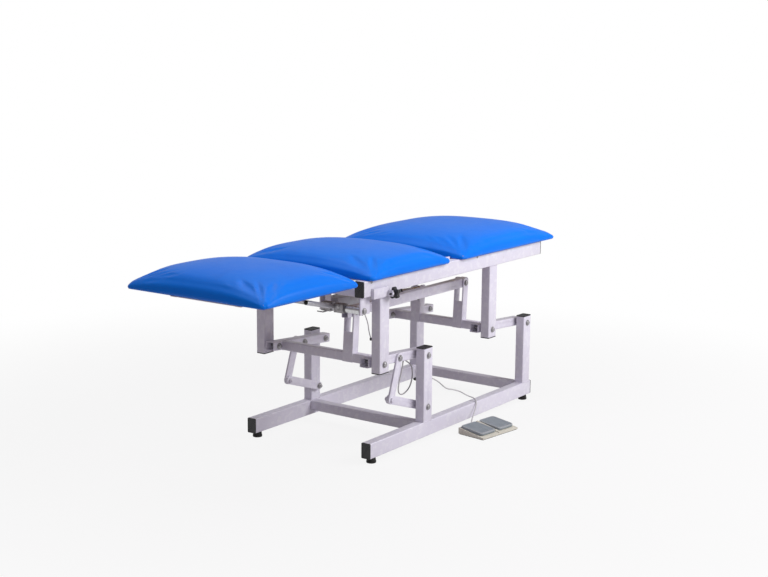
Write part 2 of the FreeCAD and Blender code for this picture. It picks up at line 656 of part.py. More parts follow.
# Lifting arms
def arms(end, base_x):
    """The near and far arm of one end and their cross bar."""
    made = []
    length = v.arm_top_overhang + v.arm_length + v.arm_base_overhang
    start_x, start_z = on_arm(base_x, -v.arm_top_overhang, dim(0))
    for word, side in SIDES:
        name = f"{end}_arm_{word}"
        arm = tube(f"{name}_tube", v.arm_size, v.arm_width, v.tube_wall, length)
        place(arm, start_x, side * ARM_MID, start_z, ARM_TURN * ALONG_X)
        holes = [(PIVOT_HOLE, hanging_x(base_x), HANG_Z), (PIVOT_HOLE, base_x, v.arm_pivot_height)]
        if end == "foot":
            x, z = on_arm(base_x, v.arm_length - v.drop_pivot_reach, dim(0))
            holes.append((v.link_bolt_radius, x, z))
        made.append(drilled(name, arm, holes))
    x, z = on_arm(base_x, v.arm_bar_offset, dim(0))
    bar = tube(f"{end}_arm_crossbar", v.arm_size, v.arm_size, v.tube_wall, 2 * ARM_INNER)
    made.append(place(bar, x, -ARM_INNER, z, ARM_TURN * ALONG_Y))
    return made


def lever(name, base_x, centre, web_top, top, pin_up):
    """A channel fork on an arm cross bar: a web in front of the bar and two plates above it."""
    web_face = v.arm_bar_offset - v.arm_size / 2 - v.lever_web
    below = v.arm_size / 2

    def on_lever(kind, long, wide, tall, along, across, up):
        x, z = on_arm(base_x, along, up)
        return box(f"{name}_{kind}", long, wide, tall, x, centre + across, z, ARM_TURN)

    half = v.lever_width / 2
    solids = [on_lever("web", v.lever_web, v.lever_width, below + web_top, web_face, -half, -below)]
    corners = []
    for word, across in (("near", -half), ("far", half - v.lever_plate)):
        solids.append(on_lever(f"{word}_plate", v.lever_depth, v.lever_plate, top - below,
                               web_face, across, below))
    fork = fuse(f"{name}_fork", solids)
    x, z = on_arm(base_x, web_face + v.lever_pin_inset, pin_up)
    hole = cylinder(f"{name}_hole", PIVOT_HOLE, v.lever_width * 2, x, centre - v.lever_width, z, ALONG_Y)
    for word, along in (("left", web_face), ("right", web_face + v.lever_depth - v.lever_corner)):
        corners.append(corner_tool(name, word, base_x, along, top, centre))
    return cut(name, fork, [hole] + corners)


def corner_tool(name, word, base_x, along, top, centre):
    """What a rounded upper corner of a lever takes away."""
    r = v.lever_corner
    x, z = on_arm(base_x, along, top - r)
    block = box(f"{name}_{word}_block", r, v.lever_width * 2, r * 2, x, centre - v.lever_width, z, ARM_TURN)
    middle = along + r if word == "left" else along
    x, z = on_arm(base_x, middle, top - r)
    rod = cylinder(f"{name}_{word}_rod", r, v.lever_width * 4, x, centre - 2 * v.lever_width, z, ALONG_Y)
    return cut(f"{name}_{word}_corner", block, [rod])


def foot_arms():
    return arms("foot", FOOT_PIVOT_X) + [
        lever("foot_tie_lever", FOOT_PIVOT_X, v.tie_lever_centre, v.tie_lever_web, v.tie_lever_top,
              v.tie_lever_pin)]


def head_arms():
    return arms("head", HEAD_PIVOT_X) + [
        lever("head_tie_lever", HEAD_PIVOT_X, v.tie_lever_centre, v.tie_lever_web, v.tie_lever_top,
              v.tie_lever_pin),
        lever("actuator_lever", HEAD_PIVOT_X, v.drive_lever_centre, v.drive_lever_web, v.drive_lever_top,
              v.drive_lever_pin)]


def tie_pin(base_x):
    web_face = v.arm_bar_offset - v.arm_size / 2 - v.lever_web
    return on_arm(base_x, web_face + v.lever_pin_inset, v.tie_lever_pin)


def tie_bar():
    left_x, z = tie_pin(FOOT_PIVOT_X)
    right_x, right_z = tie_pin(HEAD_PIVOT_X)
    length = v.tie_bar_foot_end + right_x - left_x + v.tie_bar_head_end
    bar = tube("tie_bar_tube", v.tie_bar_height, v.tie_bar_width, v.tube_wall, length)
    place(bar, left_x - v.tie_bar_foot_end, v.tie_lever_centre, z, ALONG_X)
    made = [drilled("tie_bar", bar, [(v.pivot_radius, left_x, z), (v.pivot_radius, right_x, right_z)])]
    bolts = []
    half = v.lever_width / 2 + v.side_clearance
    for word, x in (("foot", left_x), ("head", right_x)):
        name = f"tie_bolt_{word}"
        start = v.tie_lever_centre - half
        grip = 2 * half
        bolts.append(fuse(name, [
            prism(f"{name}_head", v.bolt_head_radius, v.bolt_head_height, x, start - v.bolt_head_height, z,
                  ALONG_Y),
            cylinder(f"{name}_shank", v.pivot_radius, grip + v.nut_height + v.bolt_tail, x, start, z,
                     ALONG_Y),
            prism(f"{name}_nut", v.bolt_head_radius, v.nut_height, x, start + grip, z, ALONG_Y)]))
    made.append(group("tie_bar_bolts", bolts))
    return made


# Drop links and lower links
def links():
    made = []
    top, joint = drop_joint()
    drop_turn = about_y(toward(top, joint))
    low_pivot = (FOOT_PIVOT_X.value, v.lower_pivot_height.value)
    low_turn = about_y(toward(low_pivot, joint))
    top_x, top_z = on_arm(FOOT_PIVOT_X, v.arm_length - v.drop_pivot_reach, dim(0))
    arm_bolts = []
    for word, side in SIDES:
        drop = plate(f"drop_plate_{word}", v.drop_length, v.drop_width, v.drop_thickness, LINK_HOLE,
                     top_x, side * (DROP_OUTER - v.drop_thickness / 2), top_z, drop_turn)
        turn = ALONG_Y if side < 0 else ALONG_MINUS_Y
        head = prism(f"drop_head_{word}", v.bolt_head_radius, v.bolt_head_height,
                     joint[0], side * (DROP_OUTER + v.bolt_head_height), joint[1], turn)
        stub = cylinder(f"drop_stub_{word}", LINK_HOLE, v.drop_thickness + v.bolt_head_height / 2,
                        joint[0], side * (DROP_OUTER + v.bolt_head_height / 2), joint[1], turn)
        made.append(fuse(f"drop_link_{word}", [drop, head, stub]))
        lower = plate(f"lower_plate_{word}", v.lower_length, v.lower_width, v.lower_thickness, LINK_HOLE,
                      FOOT_PIVOT_X, side * (LOWER_OUTER - v.lower_thickness / 2),
                      v.lower_pivot_height, low_turn)
        inner = LOWER_OUTER - v.lower_thickness
        nut = prism(f"lower_nut_{word}", v.bolt_head_radius, v.nut_height,
                    joint[0], side * inner, joint[1], turn)
        tail = cylinder(f"lower_tail_{word}", LINK_HOLE, v.lower_thickness + v.nut_height + v.bolt_tail,
                        joint[0], side * LOWER_OUTER, joint[1], turn)
        made.append(fuse(f"lower_link_{word}", [lower, nut, tail]))
        grip = DROP_OUTER + v.side_clearance - ARM_INNER
        arm_bolts.append(bolt(f"drop_bolt_{word}", v.link_bolt_radius, top_x, side, top_z,
                              DROP_OUTER + v.side_clearance, grip, 8))
    made.append(group("drop_link_bolts", arm_bolts))
    return made


# Top frame
def top_frame():
    made = []
    for word, side in SIDES:
        rail = tube(f"top_rail_{word}", v.rail_height, v.rail_width, v.tube_wall, v.top_rail_length)
        made.append(place(rail, TOP_START, side * RAIL_MID, TOP_BOTTOM + v.rail_height / 2, ALONG_X))
    members = []
    starts = (("foot", TOP_START), ("drive", v.drive_member_start), ("seat", v.seat_member_start),
              ("head", TOP_START + v.top_rail_length - v.bar_size))
    for word, start in starts:
        bar = tube(f"cross_member_{word}", v.bar_size, v.cross_member_height, v.tube_wall, 2 * INNER_FACE)
        members.append(place(bar, start + v.bar_size / 2, -INNER_FACE,
                             TOP_BOTTOM + v.cross_member_height / 2, ALONG_Y))
    made.append(group("top_crossmembers", members))
    posts = []
    for end, base_x in (("foot", FOOT_PIVOT_X), ("head", HEAD_PIVOT_X)):
        for word, side in SIDES:
            name = f"hanging_post_{end}_{word}"
            post = tube(f"{name}_tube", v.post_depth, v.rail_width, v.tube_wall, v.hanging_post_length)
            place(post, hanging_x(base_x), side * RAIL_MID, POST_END_Z)
            posts.append(drilled(name, post, [(v.pivot_radius, hanging_x(base_x), HANG_Z)]))
    made.append(group("hanging_posts", posts))
    made.append(top_caps())
    return made


def top_caps():
    caps = []
    middle = TOP_BOTTOM + v.rail_height / 2
    for word, side in SIDES:
        for end, x, turn in (("foot", TOP_START, -90), ("head", TOP_START + v.top_rail_length, 90)):
            piece = cap(f"top_cap_{end}_{word}", v.rail_height, v.rail_width, v.tube_wall)
            caps.append(place(piece, x, side * RAIL_MID, middle, about_y(turn)))
        for end, base_x in (("foot", FOOT_PIVOT_X), ("head", HEAD_PIVOT_X)):
            piece = cap(f"hanging_cap_{end}_{word}", v.post_depth, v.rail_width, v.tube_wall)
            caps.append(place(piece, hanging_x(base_x), side * RAIL_MID, POST_END_Z, about_y(180)))
    return group("top_caps", caps)


def hanging_pivots():
    solids = []
    grip = v.rail_width + v.arm_gap + v.arm_width + v.side_clearance
    ring = v.arm_gap - v.side_clearance
    for word, side in SIDES:
        for end, base_x in (("foot", FOOT_PIVOT_X), ("head", HEAD_PIVOT_X)):
            name = f"hanging_bolt_{end}_{word}"
            x = hanging_x(base_x)
            solids.append(bolt(name, v.pivot_radius, x, side, HANG_Z, HALF_BASE, grip, 25))
            solids.append(spacer(f"{name}_spacer", v.pivot_radius, x, side, HANG_Z, INNER_FACE, ring))
    return solids


# Upholstered sections
def cushion(name, start, length, bottom):
    """A crowned pad over a plywood board that lies in its underside."""
    body = doc.addObject("PartDesign::Body", f"{name}_pad")
    outline = new_sketch(body, f"{name}_outline", "XY_Plane")
    rounded_rectangle(outline, "outline", length, CUSHION_WIDTH, v.cushion_corner)
    pad(body, f"{name}_side", outline, v.cushion_edge)
    rim = new_sketch(body, f"{name}_rim", "XY_Plane", v.cushion_edge)
    rounded_rectangle(rim, "rim", length, CUSHION_WIDTH, v.cushion_corner)
    crown = new_sketch(body, f"{name}_crown", "XY_Plane", v.cushion_crown)
    rounded_rectangle(crown, "crown", length - 2 * v.crown_inset, CUSHION_WIDTH - 2 * v.crown_inset,
                      v.cushion_corner)
    loft = body.newObject("PartDesign::AdditiveLoft", f"{name}_top")
    loft.Profile = rim
    loft.Sections = [crown]
    loft.Ruled = True
    place(body, start + length / 2, 0, bottom)
    inset = v.board_inset
    gap = v.section_clearance
    recess = box(f"{name}_recess", length - 2 * inset, CUSHION_WIDTH - 2 * inset,
                 v.board_thickness * 2 + gap,
                 start + inset, inset - CUSHION_WIDTH / 2, bottom - v.board_thickness)
    pad_shape = cut(name, body, [recess])
    board = box(f"{name.replace('cushion', 'board')}", length - 2 * (inset + gap),
                CUSHION_WIDTH - 2 * (inset + gap), v.board_thickness,
                start + inset + gap, inset + gap - CUSHION_WIDTH / 2, bottom)
    return [pad_shape, board]


def seat():
    return cushion("seat_cushion", v.seat_start, v.seat_length, TOP_Z)


BACK_BOTTOM = TOP_Z + v.section_clearance
BACK_HINGE_Z = TOP_Z + v.back_hinge_rise
LEG_BOTTOM = TOP_Z - v.leg_drop
LEG_HINGE_Z = TOP_Z - v.leg_hinge_drop


def back_section():
    """The back cushion, its board and its tube frame with hinge ears."""
    half = BACK_FRAME_WIDTH / 2
    frame_z = BACK_BOTTOM - v.frame_tube / 2
    left = v.back_hinge_x + v.frame_tube / 2
    solids = []
    corner = v.frame_wall
    for word, side in SIDES:
        rail = tube(f"back_rail_{word}", v.frame_tube, v.frame_tube, v.frame_wall, v.back_frame_length,
                    corner)
        solids.append(place(rail, left, side * (half - v.frame_tube / 2), frame_z, ALONG_X))
        begin = v.back_hinge_x - v.frame_tube / 2
        face = side * half - (v.hinge_plate if side > 0 else 0)
        foot = box(f"back_ear_foot_{word}", v.frame_tube * 1.5, v.hinge_plate, v.frame_tube,
                   begin, face, BACK_BOTTOM - v.frame_tube)
        top = box(f"back_ear_top_{word}", v.back_start - v.section_clearance - begin, v.hinge_plate,
                  v.frame_tube + 2 * v.back_hinge_rise, begin, face, BACK_BOTTOM - v.frame_tube)
        ear = fuse(f"back_ear_{word}", [foot, top])
        hole = cylinder(f"back_ear_hole_{word}", v.hinge_radius + v.pivot_clearance, v.base_width,
                        v.back_hinge_x, side * half - v.base_width / 2, BACK_HINGE_Z, ALONG_Y)
        solids.append(cut(f"back_ear_plate_{word}", ear, [hole]))
    inner = half - v.frame_tube
    pin_x = v.back_hinge_x + v.back_spring_reach
    for word, x in (("hinge", left + v.frame_tube), ("spring", pin_x + 1.5 * v.frame_tube),
                    ("head", left + v.back_frame_length - v.frame_tube / 2)):
        bar = tube(f"back_bar_{word}", v.frame_tube, v.frame_tube, v.frame_wall, 2 * inner, corner)
        solids.append(place(bar, x, -inner, frame_z, ALONG_Y))
    solids += pin_plates("back_spring_upper", BACK_SPRING_B, dim(0), v.frame_tube * 1.2)
    return cushion("back_cushion", v.back_start, v.back_length, BACK_BOTTOM) + [fuse("back_frame", solids)]


def leg_section():
    """The leg cushion, its board and its tube frame."""
    half = v.leg_frame_width / 2
    middle = LEG_BOTTOM - v.leg_tube_height / 2
    solids = []
    corner = v.frame_wall
    right = v.leg_hinge_x + v.leg_tube_height / 2
    for word, side in SIDES:
        rail = tube(f"leg_rail_{word}", v.leg_tube_height, v.leg_tube_width, v.frame_wall,
                    v.leg_frame_length, corner)
        y = side * (half - v.leg_tube_width / 2)
        place(rail, right - v.leg_frame_length, y, middle, ALONG_X)
        solids.append(drilled(f"leg_rail_drilled_{word}", rail,
                              [(v.hinge_radius + v.pivot_clearance, v.leg_hinge_x, LEG_HINGE_Z)]))
    inner = half - v.leg_tube_width
    pin_x = v.leg_hinge_x - v.leg_spring_reach
    for word, x in (("spring", pin_x + v.leg_tube_width),
                    ("foot", right - v.leg_frame_length + v.leg_tube_width / 2)):
        bar = tube(f"leg_bar_{word}", v.leg_tube_width, v.leg_tube_height, v.frame_wall, 2 * inner, corner)
        solids.append(place(bar, x, -inner, middle, ALONG_Y))
    solids += pin_plates("leg_spring_upper", LEG_SPRING_B, LEG_SPRING_Y, v.leg_tube_width * 1.2)
    return cushion("leg_cushion", v.leg_start, v.leg_length, LEG_BOTTOM) + [fuse("leg_frame", solids)]


# Brackets and bolts of the top frame, gathered from several mechanisms
BRACKETS = []
TOP_BOLTS = []

# Gas springs and hinges
LEG_SPRING_A = (v.spring_shaft_x, TOP_Z - v.spring_shaft_drop)
LEG_SPRING_B = (v.leg_hinge_x - v.leg_spring_reach, TOP_Z - v.leg_spring_pin_drop)
BACK_SPRING_A = (v.back_spring_x, TOP_Z - v.back_spring_drop)
BACK_SPRING_B = (v.back_hinge_x + v.back_spring_reach, TOP_Z - v.back_spring_pin_drop)


def pin_plates(name, pin, centre, reach):
    """Two plates on either side of a spring's eye, with bolt heads but no pin between them."""
    solids = []
    half = v.spring_eye_width / 2 + v.side_clearance
    x, z = pin
    for word, side in SIDES:
        start = centre + (half if side > 0 else -half - v.spring_plate)
        solids.append(box(f"{name}_plate_{word}", v.spring_plate_depth / 2 + reach, v.spring_plate,
                          v.spring_plate_depth, x - v.spring_plate_depth / 2, start,
                          z - v.spring_plate_depth / 2))
        head = centre + side * (half + v.spring_plate)
        turn = ALONG_Y if side > 0 else ALONG_MINUS_Y
        solids.append(prism(f"{name}_head_{word}", v.spring_pin_radius * 1.8, v.spring_pin_radius, x, head,
                            z, turn))
    return solids


def along_line(start, end, distance):
    """The point at a distance from the start of an x-z line, held as plain numbers."""
    span = math.hypot(end[0].value - start[0].value, end[1].value - start[1].value)
    share = dim(distance) / span
    return start[0] + (end[0] - start[0]) * share, start[1] + (end[1] - start[1]) * share


def line_turn(start, end):
    return about_y(toward((start[0].value, start[1].value), (end[0].value, end[1].value)))


def span_of(start, end):
    return math.hypot(end[0].value - start[0].value, end[1].value - start[1].value)


def gas_spring(name, start, end, centre, pin_radius, rod_start, rod_depth):
    """A gas spring's hollow cylinder with its lower eye, and its rod with its upper eye."""
    turn = line_turn(start, end) * ALONG_X
    y = centre
    half = v.spring_eye_width / 2
    eye_reach = pin_radius + v.spring_pin_radius
    eye = cylinder(f"{name}_lower_eye", eye_reach, 2 * half, start[0], y - half, start[1], ALONG_Y)
    neck = cylinder(f"{name}_neck", half - v.side_clearance, v.spring_neck_length, start[0], y, start[1],
                    turn)
    x, z = along_line(start, end, v.spring_neck_length)
    barrel = cylinder(f"{name}_barrel", v.spring_body_radius, rod_start - v.spring_neck_length, x, y, z,
                      turn)
    x, z = along_line(start, end, v.spring_bore_start)
    bore = cylinder(f"{name}_bore", v.spring_rod_radius + v.section_clearance, rod_start, x, y, z, turn)
    hole = cylinder(f"{name}_lower_hole", pin_radius + v.pivot_clearance, 4 * half, start[0], y - 2 * half,
                    start[1], ALONG_Y)
    body = cut(f"{name}_cylinder", fuse(f"{name}_cylinder_outer", [eye, neck, barrel]), [bore, hole])
    x, z = along_line(start, end, rod_start - rod_depth)
    length = span_of(start, end) - rod_start + rod_depth - v.spring_eye_radius / 2
    stem = cylinder(f"{name}_stem", v.spring_rod_radius, length, x, y, z, turn)
    top = cylinder(f"{name}_upper_eye", v.spring_eye_radius, 2 * half, end[0], y - half, end[1], ALONG_Y)
    return [body, fuse(f"{name}_rod", [stem, top])]


def springs():
    leg = gas_spring("leg_spring", LEG_SPRING_A, LEG_SPRING_B, LEG_SPRING_Y, v.spring_shaft_radius,
                     v.leg_spring_rod_start, v.leg_rod_depth)
    back = gas_spring("back_spring", BACK_SPRING_A, BACK_SPRING_B, dim(0), v.spring_pin_radius,
                      v.back_spring_rod_start, v.back_rod_depth)
    return leg + back


def spring_shaft():
    """The shaft under the foot end with its ears, sleeve, ring and release head, and the hinge lugs."""
    x, z = LEG_SPRING_A
    solids = []
    made = []
    for word, side in SIDES:
        ear = box(f"ear_{word}", v.ear_length, v.ear_thickness, v.ear_drop,
                  TOP_START, side * RAIL_MID - v.ear_thickness / 2, TOP_BOTTOM - v.ear_drop)
        solids.append(ear)
        turn = ALONG_Y if side > 0 else ALONG_MINUS_Y
        outer = side * (RAIL_MID + v.ear_thickness / 2)
        TOP_BOLTS.append(prism(f"shaft_head_{word}", v.bolt_head_radius, v.bolt_head_height, x, outer, z,
                               turn))
    BRACKETS.extend(solids)
    shaft = cylinder("shaft_rod", v.spring_shaft_radius, 2 * RAIL_MID - v.ear_thickness,
                     x, v.ear_thickness / 2 - RAIL_MID, z, ALONG_Y)
    made.append(shaft)
    for word, place_x in (("foot", v.holder_start), ("head", v.rail_bolt_head)):
        TOP_BOLTS.append(prism(f"rail_bolt_{word}", v.rail_bolt_radius, v.rail_bolt_height, place_x,
                               -HALF_BASE,
                               TOP_Z - v.rail_bolt_radius - v.section_clearance, ALONG_MINUS_Y))
    ring_start = v.ear_thickness / 2 - RAIL_MID
    sleeve_start = ring_start + v.collar_width
    made.append(ring("shaft_ring", v.collar_radius, v.spring_shaft_radius, v.collar_width, x, ring_start,
                     z))
    made.append(ring("shaft_sleeve", v.sleeve_radius, v.spring_shaft_radius, v.sleeve_length, x,
                     sleeve_start, z))
    return made


def ring(name, outer, inner, width, x, y, z):
    disc = cylinder(f"{name}_disc", outer, width, x, y, z, ALONG_Y)
    bore = cylinder(f"{name}_hole", inner, width * 3, x, y - width, z, ALONG_Y)
    return cut(name, disc, [bore])


def release_head():
    """The block that holds the release valve on the shaft, with two screws and a lever."""
    x, z = LEG_SPRING_A
    start = LEG_SPRING_Y + v.spring_eye_width / 2 + v.side_clearance
    left = x - v.release_depth / 2
    low = z - v.release_height / 2
    block = box("release_block", v.release_depth, v.release_width / 2, v.release_height, left, start, low)
    near_start = LEG_SPRING_Y - v.spring_eye_width / 2 - v.side_clearance - v.release_width / 2
    other = box("release_block_near", v.release_depth, v.release_width / 2, v.release_height, left,
                near_start, low)
    bore = cylinder("release_bore", v.spring_shaft_radius, v.base_width, x, -HALF_BASE, z, ALONG_Y)
    body = cut("release_body", fuse("release_blocks", [block, other]), [bore])
    screws = []
    for word, y in (("near", near_start + v.release_width / 4), ("far", start + v.release_width / 4)):
        screws.append(cylinder(f"release_screw_{word}", v.spring_pin_radius * 1.4, v.spring_pin_radius,
                               left - v.spring_pin_radius, y, z + v.release_height / 5, ALONG_X))
    arm = box("release_lever_arm", v.release_depth, v.spring_plate, v.spring_plate,
              left - v.release_depth / 2,
              start + v.release_width / 4, low - v.spring_plate)
    tip = box("release_lever_tip", v.spring_plate, v.release_width / 3, v.spring_plate,
              left - v.release_depth / 2, start + v.release_width / 4, low - v.spring_plate)
    TOP_BOLTS.extend(screws)
    return [fuse("release_head", [body, arm, tip])]


def hinge_lugs():
    """The lugs on the top frame that carry both sections' hinge pins, and the back spring's plates."""
    solids = []
    half = v.leg_frame_width / 2 + v.side_clearance
    low = TOP_BOTTOM + v.hinge_plate
    for word, side in SIDES:
        start = side * half - (0 if side > 0 else v.hinge_plate)
        front = v.leg_hinge_x - v.spring_plate_depth / 2
        solids.append(box(f"leg_lug_{word}", TOP_START - front, v.hinge_plate,
                          LEG_HINGE_Z - low + v.spring_plate_depth / 2,
                          front, start, low))
        reach = v.leg_tube_width + v.hinge_plate * 2
        begin = side * (v.leg_frame_width / 2 - v.leg_tube_width - v.hinge_plate / 2)
        turn = ALONG_Y if side > 0 else ALONG_MINUS_Y
        solids.append(cylinder(f"leg_pin_{word}", v.hinge_radius, reach, v.leg_hinge_x, begin, LEG_HINGE_Z,
                               turn))
        back_half = BACK_FRAME_WIDTH / 2 + v.side_clearance
        thick = INNER_FACE - back_half
        solids.append(box(f"back_lug_{word}", v.spring_plate_depth, thick,
                          v.rail_height / 2 + v.back_hinge_rise * 3,
                          v.back_hinge_x - v.spring_plate_depth / 2, back_half if side > 0 else -INNER_FACE,
                          TOP_Z - v.rail_height / 2))
        begin = side * (BACK_FRAME_WIDTH / 2 - v.hinge_plate * 1.5)
        solids.append(cylinder(f"back_pin_{word}", v.hinge_radius,
                               INNER_FACE - BACK_FRAME_WIDTH / 2 + v.hinge_plate * 1.5,
                               v.back_hinge_x, begin, BACK_HINGE_Z, turn))
    x, z = BACK_SPRING_A
    inner = v.spring_eye_width / 2 + v.side_clearance
    front = v.seat_member_start + v.bar_size
    for word, side in SIDES:
        start = inner if side > 0 else -inner - v.spring_plate
        solids.append(box(f"back_spring_plate_{word}", x + v.spring_plate_depth / 2 - front, v.spring_plate,
                          v.spring_plate_depth, front, start, z - v.spring_plate_depth / 2))
    solids.append(cylinder("back_spring_pin", v.spring_pin_radius, 2 * inner + 4 * v.spring_plate,
                           x, -inner - 2 * v.spring_plate, z, ALONG_Y))
    BRACKETS.append(fuse("hinge_lugs", solids))
    return []


# Actuator
DRIVE_A = (v.drive_rear_x, TOP_Z - v.drive_rear_drop)
DRIVE_B = on_arm(HEAD_PIVOT_X, v.arm_bar_offset - v.arm_size / 2 - v.lever_web + v.lever_pin_inset,
                 v.drive_lever_pin)


def actuator():
    """The actuator's housing with its outer tube, its motor, its rod and its bracket on the top frame."""
    turn = line_turn(DRIVE_A, DRIVE_B)
    y = v.drive_lever_centre
    span = span_of(DRIVE_A, DRIVE_B)
    half_eye = v.drive_eye_width / 2
    x, z = DRIVE_A
    rear_eye = cylinder("drive_rear_eye", v.drive_rod_radius + v.drive_eye_wall, v.drive_eye_width, x,
                        y - half_eye, z, ALONG_Y)
    neck = cylinder("drive_neck", v.drive_eye_width / 2 - v.side_clearance * 2,
                    v.drive_housing_start + v.drive_overlap, x, y, z, turn * ALONG_X)
    low = -v.drive_housing_height / 2
    fall = math.radians(toward((x.value, z.value), (DRIVE_B[0].value, DRIVE_B[1].value)))
    corner_x = x + v.drive_housing_start * math.cos(fall) + low * math.sin(fall)
    corner_z = z - v.drive_housing_start * math.sin(fall) + low * math.cos(fall)
    case = box("drive_case", v.drive_housing_length, v.drive_housing_width, v.drive_housing_height,
               corner_x, y - v.drive_housing_width / 2, corner_z, turn)
    tube_start = v.drive_housing_start + v.drive_housing_length - v.drive_overlap
    tx, tz = along_line(DRIVE_A, DRIVE_B, tube_start)
    tube_length = span - v.drive_rod_length - tube_start
    outer = cylinder("drive_outer_tube", v.drive_tube_radius, tube_length, tx, y, tz, turn * ALONG_X)
    bx, bz = along_line(DRIVE_A, DRIVE_B, span - v.drive_rod_length - v.drive_rod_depth - v.drive_stroke)
    bore = cylinder("drive_bore", v.drive_rod_radius + v.section_clearance, v.drive_rod_depth * 3, bx, y,
                    bz,
                    turn * ALONG_X)
    housing = cut("actuator_housing", fuse("drive_body", [rear_eye, neck, case, outer]), [bore])
    mx, mz = along_line(DRIVE_A, DRIVE_B, tube_start + v.drive_overlap)
    motor = cylinder("actuator_motor", v.drive_motor_radius, v.drive_motor_length, mx,
                     y + v.drive_motor_offset, mz,
                     turn * ALONG_X)
    rx, rz = along_line(DRIVE_A, DRIVE_B, span - v.drive_rod_length - v.drive_rod_depth)
    stem = cylinder("drive_stem", v.drive_rod_radius,
                    v.drive_rod_length + v.drive_rod_depth - v.drive_rod_radius / 2,
                    rx, y, rz, turn * ALONG_X)
    front_eye = cylinder("drive_front_eye", v.drive_rod_radius + v.drive_eye_wall,
                         v.lever_width - 2 * v.lever_plate - 2 * v.side_clearance,
                         DRIVE_B[0], y - v.lever_width / 2 + v.lever_plate + v.side_clearance,
                         DRIVE_B[1], ALONG_Y)
    pin_start = y - v.lever_width / 2 - v.side_clearance
    pin_reach = v.lever_width + 2 * v.side_clearance
    pin = cylinder("drive_front_pin", v.pivot_radius, pin_reach + v.nut_height + v.bolt_tail,
                   DRIVE_B[0], pin_start, DRIVE_B[1], ALONG_Y)
    rod = fuse("drive_rod", [stem, front_eye])
    bolt_parts = [prism("drive_pin_head", v.bolt_head_radius, v.bolt_head_height, DRIVE_B[0],
                        pin_start - v.bolt_head_height, DRIVE_B[1], ALONG_Y),
                  prism("drive_pin_nut", v.bolt_head_radius, v.nut_height, DRIVE_B[0],
                        pin_start + pin_reach,
                        DRIVE_B[1], ALONG_Y), pin]
    rod_bored = cut("actuator_rod", rod, [cylinder("drive_pin_hole", v.pivot_radius + v.pivot_clearance,
                                                   v.lever_width,
                    DRIVE_B[0], y - v.lever_width / 2, DRIVE_B[1], ALONG_Y)])
    BRACKETS.append(drive_bracket())
    return [housing, motor, rod_bored, fuse("actuator_pin", bolt_parts)]


def drive_bracket():
    x, z = DRIVE_A
    y = v.drive_lever_centre
    half = v.drive_eye_width / 2 + v.side_clearance
    left = x - v.drive_plate_length / 2
    low = z - v.drive_plate_length / 2
    solids = []
    for word, side in SIDES:
        start = y + (half if side > 0 else -half - v.hinge_plate)
        solids.append(box(f"drive_plate_{word}", v.drive_plate_length, v.hinge_plate, TOP_BOTTOM - low,
                          left, start, low))
        turn = ALONG_Y if side > 0 else ALONG_MINUS_Y
        solids.append(prism(f"drive_head_{word}", v.bolt_head_radius, v.bolt_head_height,
                            x, y + side * (half + v.hinge_plate), z, turn))
    solids.append(box("drive_base_plate", v.bar_size, 2 * (half + v.hinge_plate), v.hinge_plate,
                      v.drive_member_start, y - half - v.hinge_plate, TOP_BOTTOM - v.hinge_plate))
    return fuse("drive_bracket", solids)


# Accessory holder and its knob
def holder():
    top = TOP_Z - v.holder_drop
    face = -HALF_BASE - v.holder_gap - v.holder_plate
    solids = [box("holder_face", v.holder_length, v.holder_plate, v.holder_height, v.holder_start, face,
                  top - v.holder_height)]
    solids.append(box("holder_left", v.holder_plate, v.holder_gap + v.holder_plate, v.holder_height,
                      v.holder_start, face, top - v.holder_height))
    solids.append(box("holder_right", v.holder_plate, v.holder_gap + v.holder_plate, v.holder_height,
                      v.holder_start + v.holder_length - v.holder_plate, face, top - v.holder_height))
    shell = fuse("holder_shell", solids)
    boss = cylinder("holder_boss", v.knob_screw_radius * 2, v.holder_plate * 2,
                    v.holder_start + v.holder_length, KNOB_Y, TOP_Z - v.knob_drop, ALONG_X)
    tab = box("holder_tab", v.holder_plate, v.knob_offset + 2 * v.knob_screw_radius, v.holder_height * 0.6,
              v.holder_start + v.holder_length - v.holder_plate, KNOB_Y - 2 * v.knob_screw_radius,
              TOP_Z - v.knob_drop - v.holder_height * 0.25)
    bore = cylinder("holder_bore", v.knob_screw_radius + v.side_clearance / 2, v.bar_size,
                    v.holder_start + v.holder_length - v.bar_size / 2, KNOB_Y, TOP_Z - v.knob_drop, ALONG_X)
    return [cut("accessory_holder", fuse("holder_outer", [shell, boss, tab]), [bore])]


def knob():
    """A five-lobed knob on its screw, along the couch."""
    z = TOP_Z - v.knob_drop
    solids = [cylinder("knob_core", v.knob_radius, v.knob_width, v.knob_x, KNOB_Y, z, ALONG_X)]
    for number in range(KNOB_LOBES):
        angle = math.radians(360 / KNOB_LOBES * number + 10)
        y = KNOB_Y + v.knob_radius * math.cos(angle)
        lobe_z = z + v.knob_radius * math.sin(angle)
        solids.append(cylinder(f"knob_lobe{number}", v.knob_lobe_radius, v.knob_width, v.knob_x, y, lobe_z,
                               ALONG_X))
    solids.append(cylinder("knob_neck", v.knob_screw_radius * 2, v.knob_x - v.holder_start - v.holder_length
                           - 2 * v.holder_plate - v.side_clearance,
                           v.holder_start + v.holder_length + 2 * v.holder_plate + v.side_clearance,
                           KNOB_Y, z, ALONG_X))
    screw = cylinder("knob_screw", v.knob_screw_radius, v.knob_x - v.holder_start - v.holder_length
                     + 3 * v.holder_plate, v.holder_start + v.holder_length - 3 * v.holder_plate,
                     KNOB_Y, z, ALONG_X)
    return [fuse("star_knob", solids + [screw])]


# Foot switch
SWITCH_TURN = Rotation(Vector(0, 0, 1), v.switch_turn.value)
SWITCH_COS = cosine(v.switch_turn)
SWITCH_SIN = sine(v.switch_turn)


